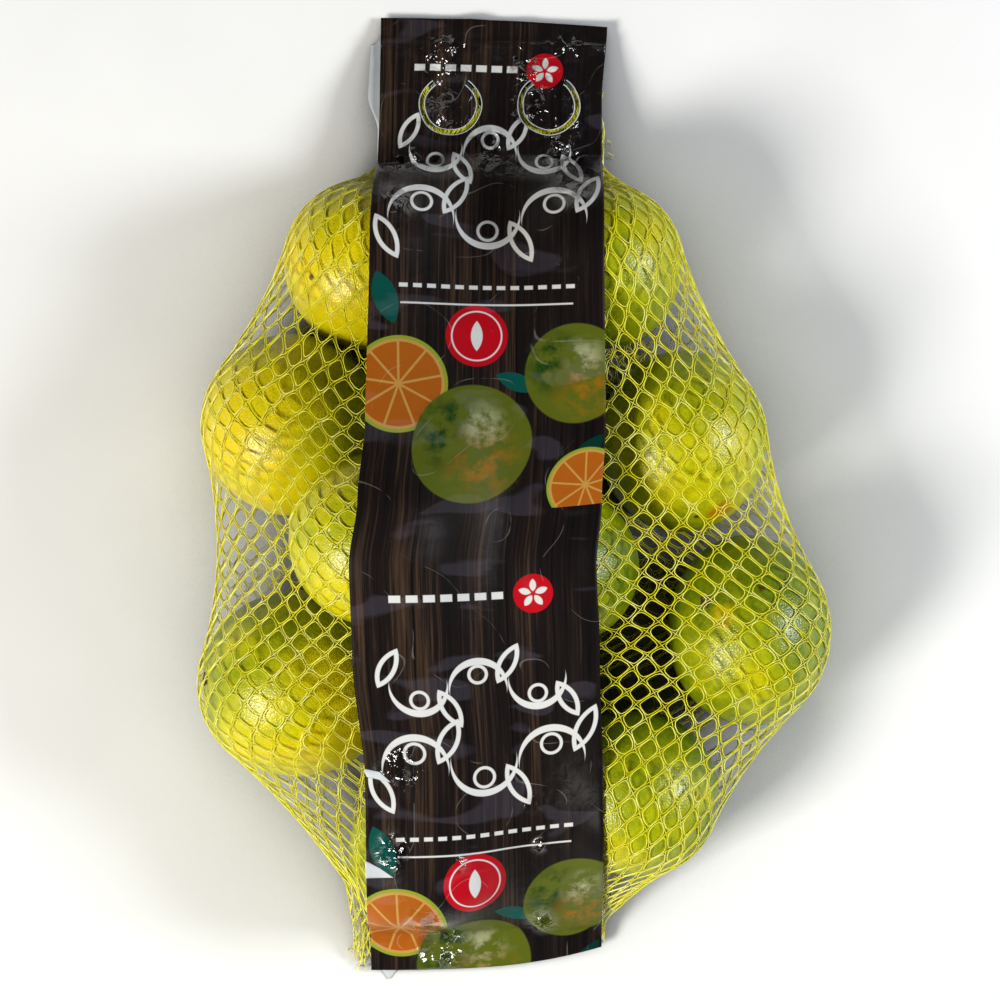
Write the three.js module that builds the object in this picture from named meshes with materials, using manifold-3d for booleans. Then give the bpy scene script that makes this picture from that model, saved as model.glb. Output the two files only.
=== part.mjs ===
// A net of oranges with a printed film band on its front and another on its back, lying on the
// back band. Millimetres: x runs across the bag, y from its foot to its header, and z up from the
// surface that it lies on. The filled net is one solid, with an orange in each of its lumps, and
// each band is a thin sheet.

import * as THREE from 'three';
import { mergeVertices } from 'three/addons/utils/BufferGeometryUtils.js';
import Module from 'manifold-3d';

const wasm = await Module();
wasm.setup();

// ---- Driving dimensions ----

// Where the middle of the finished bag's box lies in the layout below.
const BOX_MIDDLE = { x: 5.61, y: 2.49 };

// Each orange has its centre, and half its length along x, y and z.
const ORANGES = [
  { at: [-52.4, 94.0, 36.0], half: [34.0, 34.0, 34.0] }, // upper left
  { at: [41.0, 93.4, 34.0], half: [32.2, 33.2, 32.2] }, // upper right
  { at: [-83.3, 30.0, 37.2], half: [35.6, 36.6, 35.6] }, // left
  { at: [72.8, 23.4, 36.5], half: [33.6, 36.4, 34.7] }, // right
  { at: [-4.0, 39.6, 33.8], half: [32.0, 32.8, 32.0] }, // middle, under the bands
  { at: [21.2, -26.2, 51.5], half: [34.0, 32.4, 32.8] }, // middle, raised
  { at: [-46.8, -15.4, 77.6], half: [35.2, 33.8, 34.2] }, // on top of its neighbours
  { at: [99.1, -52.0, 36.7], half: [32.4, 38.4, 34.9] }, // lower right
  { at: [-80.5, -73.0, 39.7], half: [39.6, 37.2, 38.0] }, // lower left
  { at: [-3.0, -84.4, 34.0], half: [32.6, 31.6, 32.0] }, // lower middle
  { at: [53.8, -117.2, 35.3], half: [33.8, 33.4, 33.5] }, // foot, right
  { at: [-29.9, -141.0, 32.2], half: [31.0, 30.6, 30.6] }, // foot, left
];

// The knitted tube: its thickness over the fruit and in its flat ends, its lowest height, and the
// stiffness of its strands round the bag and along it. It is drawn tight in passes, from a loose
// tube, and its rings are crowded towards both ends.
const NET = {
  skin: 0.8,
  tongueThickness: 1.0,
  lowest: 1.15,
  pullAround: 1,
  pullAlong: 32,
  columns: 64,
  bodyRings: 44,
  tongueRings: 2,
  crowding: 0.09,
  passes: 2500,
  loose: { halfWidth: 170, halfHeight: 110, z: 55 },
};

// Beside the bands, where the net spans from orange to orange, its solid sinks by this share of the
// way to the plane through the ring's left and right edges, so that every orange stands out round.
// slope is the steepest that it falls beside an orange. The sinking starts and ends at the margins,
// which are distances from a band's edge. Its creases are then smoothed in passes.
const SINK = { share: 0.8, slope: 2.5, margins: [-4, 14], steps: 90, passes: 5 };

// Both bands: gap is their distance from the net's flat ends, and clear that from the filled net.
// The back band's weight draws it down onto the surface, by this much in each pass.
const FILM = {
  thickness: 0.5,
  gap: 0.35,
  clear: 0.8,
  columns: 10,
  passes: 400,
  pullAlong: 0.8,
  weight: 0.3,
};

// The flat ends of the bag, between the two bands. An end's shoulder is where the tube closes, lift
// is its height there, and netEnd is how far the net reaches.
const HEADER = { shoulder: 136, tip: 198, lift: 20, netEnd: 162, netWidth: 91, netCentre: -4 };
const FOOT = { shoulder: -174, tip: -193, lift: 8, netEnd: -189, netWidth: 100, netCentre: -7 };

// The front band down the bag: y, how far its middle line stands off x = 0, and its width.
const FRONT_LINE = [
  [198, -2.4, 93], [160, -3.8, 90.5], [100, -5.0, 91.5], [30, -5.2, 92.5], [0, -7.2, 93],
  [-25, -9.8, 94], [-60, -8.8, 95], [-110, -6.0, 92.5], [-194, -5.6, 94.5],
];
// How far the front band's slanted ends fall, towards its right side.
const FRONT_ENDS = { headerFall: 4.0, footRise: 10.0, rows: 58 };
const BACK = { offset: -4.0, offsetAtFoot: 2.0, width: 92, headerTip: 197, footTip: -193, rows: 44 };

// The two C-shaped hang slits, open at the top so that each flap stays on.
const SLIT = { radius: 12.6, width: 2.0, opening: 70, spacing: 40, y: 160.8, x: -0.2, arcSteps: 22 };

// ---- The tube of net, drawn tight over the fruit ----

const lerp = THREE.MathUtils.lerp;

/** Height of the middle of the flat header or foot, which slopes down to rest at its tip. */
function endHeight(end, y) {
  const atTip = FILM.thickness + FILM.gap + NET.tongueThickness / 2;
  const share = THREE.MathUtils.clamp((y - end.shoulder) / (end.tip - end.shoulder), 0, 1);
  return lerp(end.lift, atTip, share);
}

/** The y of every ring of the tube, from the header's net end to the foot's, closer at both ends. */
function ringPlaces() {
  const places = [];
  for (let k = 0; k < NET.tongueRings; k++) {
    places.push(lerp(HEADER.netEnd, HEADER.shoulder, k / NET.tongueRings));
  }
  for (let k = 0; k <= NET.bodyRings; k++) {
    const share = k / NET.bodyRings;
    const eased = share - NET.crowding * Math.sin(2 * Math.PI * share);
    places.push(lerp(HEADER.shoulder, FOOT.shoulder, eased));
  }
  for (let k = 1; k <= NET.tongueRings; k++) {
    places.push(lerp(FOOT.shoulder, FOOT.netEnd, k / NET.tongueRings));
  }
  return places;
}

/** Whether ring j belongs to one of the flat ends. */
function isFlat(j) {
  return j <= NET.tongueRings || j >= NET.tongueRings + NET.bodyRings;
}

/** A ring of the flat net end between the two bands, thinner towards its edges. */
function flatRing(end, y) {
  const ring = [];
  for (let i = 0; i < NET.columns; i++) {
    const angle = (2 * Math.PI * i) / NET.columns;
    const across = 1 - Math.abs(angle > Math.PI ? angle - 2 * Math.PI : angle) / (Math.PI / 2);
    const x = end.netCentre + (end.netWidth / 2) * across;
    ring.push([x, endHeight(end, y) + (NET.tongueThickness / 2) * Math.sin(angle)]);
  }
  return ring;
}

/** A wide ring that clears all the fruit, from which the net shrinks. */
function looseRing() {
  const ring = [];
  for (let i = 0; i < NET.columns; i++) {
    const angle = (2 * Math.PI * i) / NET.columns;
    const { halfWidth, halfHeight, z } = NET.loose;
    ring.push([halfWidth * Math.cos(angle), z + halfHeight * Math.sin(angle)]);
  }
  return ring;
}

/** Moves a point of the ring at y out of every orange that the ring cuts, and above the floor. */
function pushOut(point, y) {
  for (const { at, half } of ORANGES) {
    const along = (y - at[1]) / (half[1] + NET.skin);
    if (Math.abs(along) >= 1) continue;
    const section = Math.sqrt(1 - along * along);
    const across = (point[0] - at[0]) / ((half[0] + NET.skin) * section);
    const up = (point[1] - at[2]) / ((half[2] + NET.skin) * section);
    const reach = Math.hypot(across, up);
    if (reach >= 1) continue;
    point[0] = at[0] + (point[0] - at[0]) / reach;
    point[1] = at[2] + (point[1] - at[2]) / reach;
  }
  point[1] = Math.max(point[1], NET.lowest);
}

/** Points spaced evenly along a path of [x, z] points, from its start and without its end. */
function evenAlong(path, count) {
  const lengths = [0];
  for (let k = 1; k < path.length; k++) {
    const step = Math.hypot(path[k][0] - path[k - 1][0], path[k][1] - path[k - 1][1]);
    lengths.push(lengths[k - 1] + step);
  }
  const spacing = lengths[lengths.length - 1] / count;
  let k = 1;
  return Array.from({ length: count }, (_, i) => {
    while (lengths[k] < i * spacing) k += 1;
    const along = (i * spacing - lengths[k - 1]) / (lengths[k] - lengths[k - 1] || 1);
    return [0, 1].map((axis) => lerp(path[k - 1][axis], path[k][axis], along));
  });
}

/** The ring with its points spaced evenly, from where its right side crosses its middle height. */
function evenlySpaced(ring) {
  const middle = ring.reduce((sum, point) => sum + point[1], 0) / ring.length;
  const count = ring.length;
  const isStart = (k) => ring[k % count][1] < middle && ring[(k + 1) % count][1] >= middle;
  let start = -Math.floor(count / 4);
  while (!isStart(start + count)) start += 1;
  const from = ring[(start + count) % count];
  const to = ring[(start + 1 + count) % count];
  const share = (middle - from[1]) / (to[1] - from[1]);
  const first = [lerp(from[0], to[0], share), middle];
  const loop = [first, ...ring.map((_, k) => ring[(start + 1 + k + count) % count]), first];
  return evenAlong(loop, count);
}

/** Rings of [x, z] points: each body ring shrinks between its neighbours until it meets the fruit. */
function tightenNet(places) {
  const first = NET.tongueRings;
  const last = first + NET.bodyRings;
  const rings = places.map((y, j) => {
    if (j <= first) return flatRing(HEADER, y);
    return j >= last ? flatRing(FOOT, y) : looseRing();
  });
  for (let pass = 0; pass < NET.passes; pass++) {
    for (let j = first + 1; j < last; j++) {
      const toHeader = NET.pullAlong / (places[j - 1] - places[j]);
      const toFoot = NET.pullAlong / (places[j] - places[j + 1]);
      const total = 2 * NET.pullAround + toHeader + toFoot;
      for (let i = 0; i < NET.columns; i++) {
        const left = rings[j][(i + NET.columns - 1) % NET.columns];
        const right = rings[j][(i + 1) % NET.columns];
        const point = [0, 1].map((axis) => (NET.pullAround * (left[axis] + right[axis])
          + toHeader * rings[j - 1][i][axis] + toFoot * rings[j + 1][i][axis]) / total);
        rings[j][i] = point;
      }
      rings[j] = evenlySpaced(rings[j]);
      rings[j].forEach((point) => pushOut(point, places[j]));
    }
  }
  return rings;
}

const places = ringPlaces();
const rings = tightenNet(places);

/** The lowest and highest net at x in the section at y, or null where the net doesn't reach. */
function netSpan(x, y) {
  const j = places.findIndex((place, k) => place >= y && places[k + 1] <= y);
  if (j < 0) return null;
  const share = (places[j] - y) / (places[j] - places[j + 1]);
  const section = rings[j].map(
    (point, i) => [0, 1].map((axis) => lerp(point[axis], rings[j + 1][i][axis], share)),
  );
  let span = null;
  section.forEach((point, i) => {
    const next = section[(i + 1) % section.length];
    if ((point[0] - x) * (next[0] - x) > 0 || point[0] === next[0]) return;
    const z = lerp(point[1], next[1], (x - point[0]) / (next[0] - point[0]));
    span = { low: Math.min(span?.low ?? z, z), high: Math.max(span?.high ?? z, z) };
  });
  return span;
}

/** The highest (side 1) or lowest (side -1) fruit at x and y, each orange with a slope round it. */
function fruitHeight(x, y, side) {
  const steep = Math.hypot(1, SINK.slope);
  const heights = ORANGES.map(({ at, half }) => {
    const [across, along] = [x, y].map((place, axis) => (place - at[axis]) / (half[axis] + NET.skin));
    const off = Math.hypot(across, along);
    const rise = off < SINK.slope / steep ? Math.sqrt(1 - off * off) : steep - SINK.slope * off;
    return at[2] + side * (half[2] + NET.skin) * rise;
  });
  return side > 0 ? Math.max(...heights) : Math.min(...heights);
}

/** One side of a ring, from one edge to the other, sunk where the net spans between the fruit. */
function sunkSide(from, to, y, side) {
  const band = bandLine(y, side);
  const path = [];
  for (let k = 0; k <= SINK.steps; k++) {
    const share = (1 - Math.cos((Math.PI * k) / SINK.steps)) / 2;
    const [x, plane] = [0, 1].map((axis) => lerp(from[axis], to[axis], share));
    const span = netSpan(x, y) ?? { low: plane, high: plane };
    const drawn = side > 0 ? span.high : span.low;
    const beside = Math.abs(x - band.x) - band.width / 2;
    const depth = SINK.share * THREE.MathUtils.smoothstep(beside, ...SINK.margins);
    const sunk = lerp(drawn, plane, depth);
    const fruit = fruitHeight(x, y, side);
    const height = side > 0 ? Math.min(drawn, Math.max(sunk, fruit))
      : Math.max(drawn, Math.min(sunk, fruit));
    path.push([x, height]);
  }
  return evenAlong(path, NET.columns / 2);
}

/** The rings with their creases smoothed off the fruit. Each body ring keeps its two edges. */
function smoothed(sunk) {
  const isKept = (i, j) => isFlat(j) || i % (NET.columns / 2) === 0;
  return sunk.map((ring, j) => ring.map((point, i) => {
    if (isKept(i, j)) return point;
    const around = [ring[i - 1], ring[(i + 1) % NET.columns], sunk[j - 1][i], sunk[j + 1][i]];
    const mean = [0, 1].map((axis) => around.reduce((sum, other) => sum + other[axis], 0) / 4);
    const eased = [0, 1].map((axis) => (point[axis] + mean[axis]) / 2);
    pushOut(eased, places[j]);
    return eased;
  }));
}

/** The rings of the solid: those of the flat ends as they are, and the body's sunk. */
function sunkRings() {
  let sunk = rings.map((ring, j) => {
    if (isFlat(j)) return ring;
    const right = ring.reduce((a, b) => (b[0] > a[0] ? b : a));
    const left = ring.reduce((a, b) => (b[0] < a[0] ? b : a));
    return [...sunkSide(right, left, places[j], 1), ...sunkSide(left, right, places[j], -1)];
  });
  for (let pass = 0; pass < SINK.passes; pass++) sunk = smoothed(sunk);
  return sunk;
}

// ---- The bands, draped over and under the net ----

/** The front band's middle line and width at y. */
function frontLine(y) {
  const k = FRONT_LINE.findIndex(([place], n) => n > 0 && place <= y);
  const [above, below] = k < 0 ? FRONT_LINE.slice(-2) : FRONT_LINE.slice(k - 1, k + 1);
  const share = THREE.MathUtils.smoothstep((y - above[0]) / (below[0] - above[0]), 0, 1);
  return { x: lerp(above[1], below[1], share), width: lerp(above[2], below[2], share) };
}

/** The middle line and width of the front (side 1) or back (side -1) band at y. */
function bandLine(y, side) {
  const front = frontLine(y);
  if (side > 0) return front;
  const along = (y - BACK.headerTip) / (BACK.footTip - BACK.headerTip);
  return { x: front.x + lerp(BACK.offset, BACK.offsetAtFoot, along), width: BACK.width };
}

/** A point of the front band in plan, across and along from 0 to 1, from its upper left corner. */
function frontPlan(across, along) {
  const top = HEADER.tip - FRONT_ENDS.headerFall * across * across;
  const bottom = FOOT.tip + FRONT_ENDS.footRise * across ** 3;
  const y = lerp(top, bottom, along);
  const line = frontLine(y);
  return [line.x + (across - 0.5) * line.width, y];
}

/** A point of the back band in plan. */
function backPlan(across, along) {
  const y = lerp(BACK.headerTip, BACK.footTip, along);
  const line = bandLine(y, -1);
  return [line.x + (across - 0.5) * line.width, y];
}

/** The heights that a band must clear, over (side 1) or under (side -1) the net near each corner. */
function clearHeights(plan, rows, side) {
  const reach = [-1, -0.6, -0.3, 0, 0.3, 0.6, 1]; // in cells, out to the neighbouring corners
  const heightAt = (i, j) => {
    let height = side > 0 ? -Infinity : Infinity;
    for (const di of reach) {
      for (const dj of reach) {
        const [x, y] = plan((i + di) / FILM.columns, (j + dj) / rows);
        const span = netSpan(x, y);
        if (span && side > 0) height = Math.max(height, span.high + FILM.clear);
        if (span && side < 0) height = Math.min(height, span.low - FILM.clear - FILM.thickness);
      }
    }
    return height;
  };
  return Array.from({ length: rows + 1 }, (_, j) => (
    Array.from({ length: FILM.columns + 1 }, (__, i) => heightAt(i, j))
  ));
}

/** Undersides of a band's corners: its two flat ends are set, and it is drawn tight between them. */
function drape(plan, rows, side) {
  const limits = clearHeights(plan, rows, side);
  const offset = side > 0 ? NET.tongueThickness / 2 + FILM.gap
    : -NET.tongueThickness / 2 - FILM.gap - FILM.thickness;
  const weight = side > 0 ? 0 : FILM.weight;
  const cleared = (z, limit) => (side > 0 ? Math.max(z, limit) : Math.max(0, Math.min(z, limit)));
  const yAt = (j, i) => plan(i / FILM.columns, j / rows)[1];
  const isFixed = (j, i) => yAt(j, i) >= HEADER.shoulder || yAt(j, i) <= FOOT.shoulder;
  const heights = limits.map((row, j) => row.map((limit, i) => {
    const end = yAt(j, i) >= HEADER.shoulder ? HEADER : FOOT;
    return cleared(endHeight(end, yAt(j, i)) + offset, limit);
  }));
  for (let pass = 0; pass < FILM.passes; pass++) {
    for (let j = 1; j < rows; j++) {
      for (let i = 0; i <= FILM.columns; i++) {
        if (isFixed(j, i)) continue;
        const along = (heights[j - 1][i] + heights[j + 1][i]) / 2;
        const left = heights[j][Math.max(i - 1, 0)];
        const right = heights[j][Math.min(i + 1, FILM.columns)];
        const drawn = lerp((left + right) / 2, along, FILM.pullAlong) - weight;
        heights[j][i] = cleared(drawn, limits[j][i]);
      }
    }
  }
  return heights;
}

/** A geometry with only its positions, and each corner shared by the faces that meet there. */
function merged(geometry) {
  geometry.deleteAttribute('normal');
  geometry.deleteAttribute('uv');
  return mergeVertices(geometry);
}

/** A closed thin sheet: a flat box whose corners are moved onto the draped heights. */
function band(plan, rows, side) {
  const heights = drape(plan, rows, side);
  const corner = (i, j) => {
    const column = THREE.MathUtils.clamp(i, 0, FILM.columns);
    const row = THREE.MathUtils.clamp(j, 0, rows);
    const [x, y] = plan(column / FILM.columns, row / rows);
    return new THREE.Vector3(x, y, heights[row][column]);
  };
  const geometry = merged(new THREE.BoxGeometry(1, 1, 1, FILM.columns, rows, 1));
  const position = geometry.attributes.position;
  for (let k = 0; k < position.count; k++) {
    const i = Math.round((position.getX(k) + 0.5) * FILM.columns);
    const j = Math.round((0.5 - position.getY(k)) * rows);
    const across = corner(i + 1, j).sub(corner(i - 1, j));
    const along = corner(i, j - 1).sub(corner(i, j + 1));
    const normal = across.cross(along).normalize();
    const point = corner(i, j);
    const over = side > 0 ? normal : new THREE.Vector3(0, 0, 1);
    if (position.getZ(k) > 0) point.addScaledVector(over, FILM.thickness);
    position.setXYZ(k, point.x, point.y, point.z);
  }
  return geometry;
}

// ---- Solids ----

/** The filled net: a closed cylinder whose corners are moved onto the sunk rings. */
function filledNet() {
  const sunk = sunkRings();
  const segments = places.length - 1;
  const geometry = merged(new THREE.CylinderGeometry(1, 1, 1, NET.columns, segments));
  const position = geometry.attributes.position;
  for (let k = 0; k < position.count; k++) {
    const j = Math.round((0.5 - position.getY(k)) * segments);
    const turn = Math.atan2(position.getX(k), position.getZ(k)) / (2 * Math.PI);
    const i = Math.round((1 - turn) * NET.columns) % NET.columns;
    const end = j === 0 ? HEADER : FOOT;
    const isCentre = Math.hypot(position.getX(k), position.getZ(k)) < 0.5;
    const [x, z] = isCentre ? [end.netCentre, endHeight(end, places[j])] : sunk[j][i];
    position.setXYZ(k, x, places[j], z);
  }
  return geometry;
}

/** The band between two arcs that one hang slit takes out of a film, tall enough to cut through. */
function slitCutter(x) {
  const half = THREE.MathUtils.degToRad(SLIT.opening / 2);
  const from = Math.PI / 2 + half;
  const to = Math.PI / 2 - half + 2 * Math.PI;
  const shape = new THREE.Shape();
  shape.absarc(0, 0, SLIT.radius, from, to, false);
  shape.absarc(0, 0, SLIT.radius - SLIT.width, to, from, true);
  const depth = 2 * HEADER.lift;
  const options = { depth, bevelEnabled: false, curveSegments: SLIT.arcSteps };
  const geometry = new THREE.ExtrudeGeometry(shape, options);
  geometry.translate(x, SLIT.y, -depth / 4);
  return merged(geometry);
}

/** A closed geometry as a solid for cutting. */
function solid(geometry) {
  return new wasm.Manifold(new wasm.Mesh({
    numProp: 3,
    vertProperties: new Float32Array(geometry.attributes.position.array),
    triVerts: new Uint32Array(geometry.index.array),
  }));
}

/** The band with both hang slits cut through its header. */
function withSlits(geometry) {
  let cut = solid(geometry);
  for (const side of [-1, 1]) {
    cut = cut.subtract(solid(slitCutter(SLIT.x + (side * SLIT.spacing) / 2)));
  }
  const mesh = cut.getMesh();
  const result = new THREE.BufferGeometry();
  result.setAttribute('position', new THREE.BufferAttribute(mesh.vertProperties, 3));
  result.setIndex(new THREE.BufferAttribute(mesh.triVerts, 1));
  return result;
}

/** A named mesh with a finish of its own. */
function piece(name, geometry, colour, roughness) {
  const material = new THREE.MeshStandardMaterial({ color: colour, roughness, metalness: 0 });
  geometry.computeVertexNormals();
  const mesh = new THREE.Mesh(geometry, material);
  mesh.name = name;
  return mesh;
}

const group = new THREE.Group();
group.add(
  piece('filled_net', filledNet(), '#c8c814', 0.45),
  piece('front_film', withSlits(band(frontPlan, FRONT_ENDS.rows, 1)), '#221d1b', 0.2),
  piece('back_film', withSlits(band(backPlan, BACK.rows, -1)), '#221d1b', 0.2),
);
group.position.set(-BOX_MIDDLE.x, -BOX_MIDDLE.y, 0);

export default group;
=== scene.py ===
"""A knitted net of oranges between two printed film bands, lying on its back.

The layout is in millimetres: x runs across the bag, y from its foot to its hang header, and z up
from the floor. Finished meshes are in metres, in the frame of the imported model.
"""

import logging
import math
from dataclasses import dataclass, field
from enum import Enum

import bmesh
import bpy
import numpy as np
from mathutils import Matrix, Vector, noise


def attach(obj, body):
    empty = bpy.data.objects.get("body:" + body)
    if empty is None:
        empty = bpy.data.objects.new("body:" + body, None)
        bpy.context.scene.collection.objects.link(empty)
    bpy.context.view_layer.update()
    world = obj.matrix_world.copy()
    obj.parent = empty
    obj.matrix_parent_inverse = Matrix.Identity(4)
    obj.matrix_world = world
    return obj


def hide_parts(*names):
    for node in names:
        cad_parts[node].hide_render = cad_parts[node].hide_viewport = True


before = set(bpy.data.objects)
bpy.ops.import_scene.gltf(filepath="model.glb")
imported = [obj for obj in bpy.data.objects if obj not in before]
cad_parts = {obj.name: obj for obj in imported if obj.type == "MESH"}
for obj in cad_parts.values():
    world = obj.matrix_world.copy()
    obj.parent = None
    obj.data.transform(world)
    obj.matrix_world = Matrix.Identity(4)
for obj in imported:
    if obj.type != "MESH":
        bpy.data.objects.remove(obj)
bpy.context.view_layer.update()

LOG = logging.getLogger("net_of_oranges")
MM = 0.001
BOX_MIDDLE = np.array([5.61, 2.49, 0.0])  # the middle of the bag's box, in the layout
BODY = "root"

Pair = tuple[float, float]
Triple = tuple[float, float, float]
Piece = bpy.types.Object
Material = bpy.types.Material
Socket = bpy.types.NodeSocket


def in_frame(points: np.ndarray) -> np.ndarray:
    """Turns one point or many from layout millimetres into metres in the frame."""
    return (np.asarray(points, float) - BOX_MIDDLE) * MM


def linear(colour: str) -> tuple[float, float, float, float]:
    """Turns an sRGB hex colour such as "#e6de2b" into linear RGBA."""
    parts = [int(colour[k:k + 2], 16) / 255 for k in (1, 3, 5)]
    return (*(c / 12.92 if c <= 0.04045 else ((c + 0.055) / 1.055) ** 2.4 for c in parts), 1.0)


def per_metre(spacing: float) -> float:
    """The texture scale whose pattern repeats every so many millimetres."""
    return 1 / (spacing * MM)


def smoothstep(low: float, high: float, value: np.ndarray) -> np.ndarray:
    """Eases value from 0 at low to 1 at high."""
    share = np.clip((value - low) / (high - low), 0, 1)
    return share * share * (3 - 2 * share)


def read_grid(grid: np.ndarray, down: np.ndarray, across: np.ndarray,
              closed: bool = False) -> np.ndarray:
    """Reads a grid of numbers or points between its corners.

    Args:
        grid: the numbers or points, by row and column.
        down: the places among the rows.
        across: the places among the columns.
        closed: whether the last column is followed by the first.

    Returns:
        What the grid has there.
    """
    rows, columns = grid.shape[:2]
    down, across = np.asarray(down, float), np.asarray(across, float)
    j, i = np.clip(np.floor(down).astype(int), 0, rows - 2), np.floor(across).astype(int)
    if not closed:
        i = np.clip(i, 0, columns - 2)
    t, s = (part[..., *[None] * (grid.ndim - 2)] for part in (down - j, across - i))
    i, beyond = i % columns, (i + 1) % columns
    upper = grid[j, i] * (1 - s) + grid[j, beyond] * s
    lower = grid[j + 1, i] * (1 - s) + grid[j + 1, beyond] * s
    return upper * (1 - t) + lower * t


class Slot(Enum):
    """The names of the material slots."""

    YARN = "net_yarn"
    PEEL = "orange_peel"
    PRINT = "printed_film"
    INSIDE = "film_inside"


def keep(piece: Piece, slot: Slot, *nodes: str) -> Piece:
    """Makes a finished piece ride on the bag, and hides the CAD nodes that it replaces.

    Args:
        piece: the finished object.
        slot: the material slot that it takes its finish from; not used.
        nodes: the CAD nodes that it replaces.

    Returns:
        The piece.
    """
    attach(piece, BODY)
    if nodes:
        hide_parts(*nodes)
    LOG.info("%s: %d faces", piece.name, len(piece.data.polygons))
    return piece


def mesh_object(name: str, mesh: bpy.types.Mesh, materials: list | tuple) -> Piece:
    """Puts a mesh into the scene, with smooth faces.

    Args:
        name: the piece's name.
        mesh: its mesh, in metres.
        materials: its materials, in the order of its faces' indices.

    Returns:
        The new object.
    """
    piece = bpy.data.objects.new(name, mesh)
    bpy.context.scene.collection.objects.link(piece)
    for material in materials:
        mesh.materials.append(material)
    mesh.polygons.foreach_set("use_smooth", [True] * len(mesh.polygons))
    return piece


def from_bmesh(name: str, shape: bmesh.types.BMesh, materials: list | tuple) -> Piece:
    """Turns a finished bmesh in layout millimetres into an object in the frame.

    Args:
        name: the piece's name.
        shape: the bmesh, which is freed.
        materials: the piece's materials.

    Returns:
        The new object.
    """
    mesh = bpy.data.meshes.new(name)
    shape.to_mesh(mesh)
    shape.free()
    points = np.empty(len(mesh.vertices) * 3)
    mesh.vertices.foreach_get("co", points)
    mesh.vertices.foreach_set("co", in_frame(points.reshape(-1, 3)).ravel())
    mesh.update()
    return mesh_object(name, mesh, materials)


def settled(piece: Piece) -> Piece:
    """Applies all of a piece's modifiers to its mesh.

    Args:
        piece: an object with modifiers.

    Returns:
        The same object, with a plain mesh.
    """
    graph = bpy.context.evaluated_depsgraph_get()
    mesh = bpy.data.meshes.new_from_object(piece.evaluated_get(graph))
    piece.modifiers.clear()
    old, piece.data = piece.data, mesh
    mesh.name = old.name
    bpy.data.meshes.remove(old)
    return piece


def strands(name: str, paths: list, closed: bool, radius: float, material: Material) -> Piece:
    """Makes one piece of thin round strands.

    Args:
        name: the piece's name.
        paths: the points of each strand, in layout millimetres.
        closed: whether each strand is a loop.
        radius: of each strand, in millimetres.
        material: what they are made of.

    Returns:
        The piece.
    """
    curve = bpy.data.curves.new(name, "CURVE")
    curve.dimensions = "3D"
    curve.bevel_depth = radius * MM
    curve.bevel_resolution = 0
    curve.use_fill_caps = not closed
    for path in paths:
        spline = curve.splines.new("POLY")
        spline.points.add(len(path) - 1)
        homogeneous = np.concatenate([in_frame(path), np.ones((len(path), 1))], axis=1)
        spline.points.foreach_set("co", homogeneous.ravel())
        spline.use_cyclic_u = closed
    drawn = bpy.data.objects.new(name, curve)
    mesh = bpy.data.meshes.new_from_object(drawn)
    bpy.data.objects.remove(drawn)
    bpy.data.curves.remove(curve)
    mesh.name = name
    return mesh_object(name, mesh, [material])


# ---- The driving values of the bag, as its solids have them ----


@dataclass(frozen=True)
class Scar:
    """A mark on an orange's peel.

    Attributes:
        towards: the direction of the mark from the orange's centre.
        radius: its radius in millimetres.
        colour: its sRGB colour.
    """

    towards: Triple
    radius: float
    colour: str = "#5a3a12"


@dataclass(frozen=True)
class Orange:
    """One orange: where it lies, and how it looks.

    Attributes:
        name: where it lies in the bag.
        at: its centre.
        half: half its length along x, y and z.
        ripe_and_lit_side: the direction in which its peel is yellowest, partly where it is riper
            and partly painted light, with the shaded side painted greener.
        yellow: how yellow it is on the whole, from 0 to 1.
        spread: how much the yellow differs between its two sides, from ripeness and painted light
            together.
        stem: the direction of its stem end, where that shows.
        scars: the marks on its peel.
    """

    name: str
    at: Triple
    half: Triple
    ripe_and_lit_side: Triple
    yellow: float
    spread: float = 0.25
    stem: Triple | None = None
    scars: tuple[Scar, ...] = ()


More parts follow.
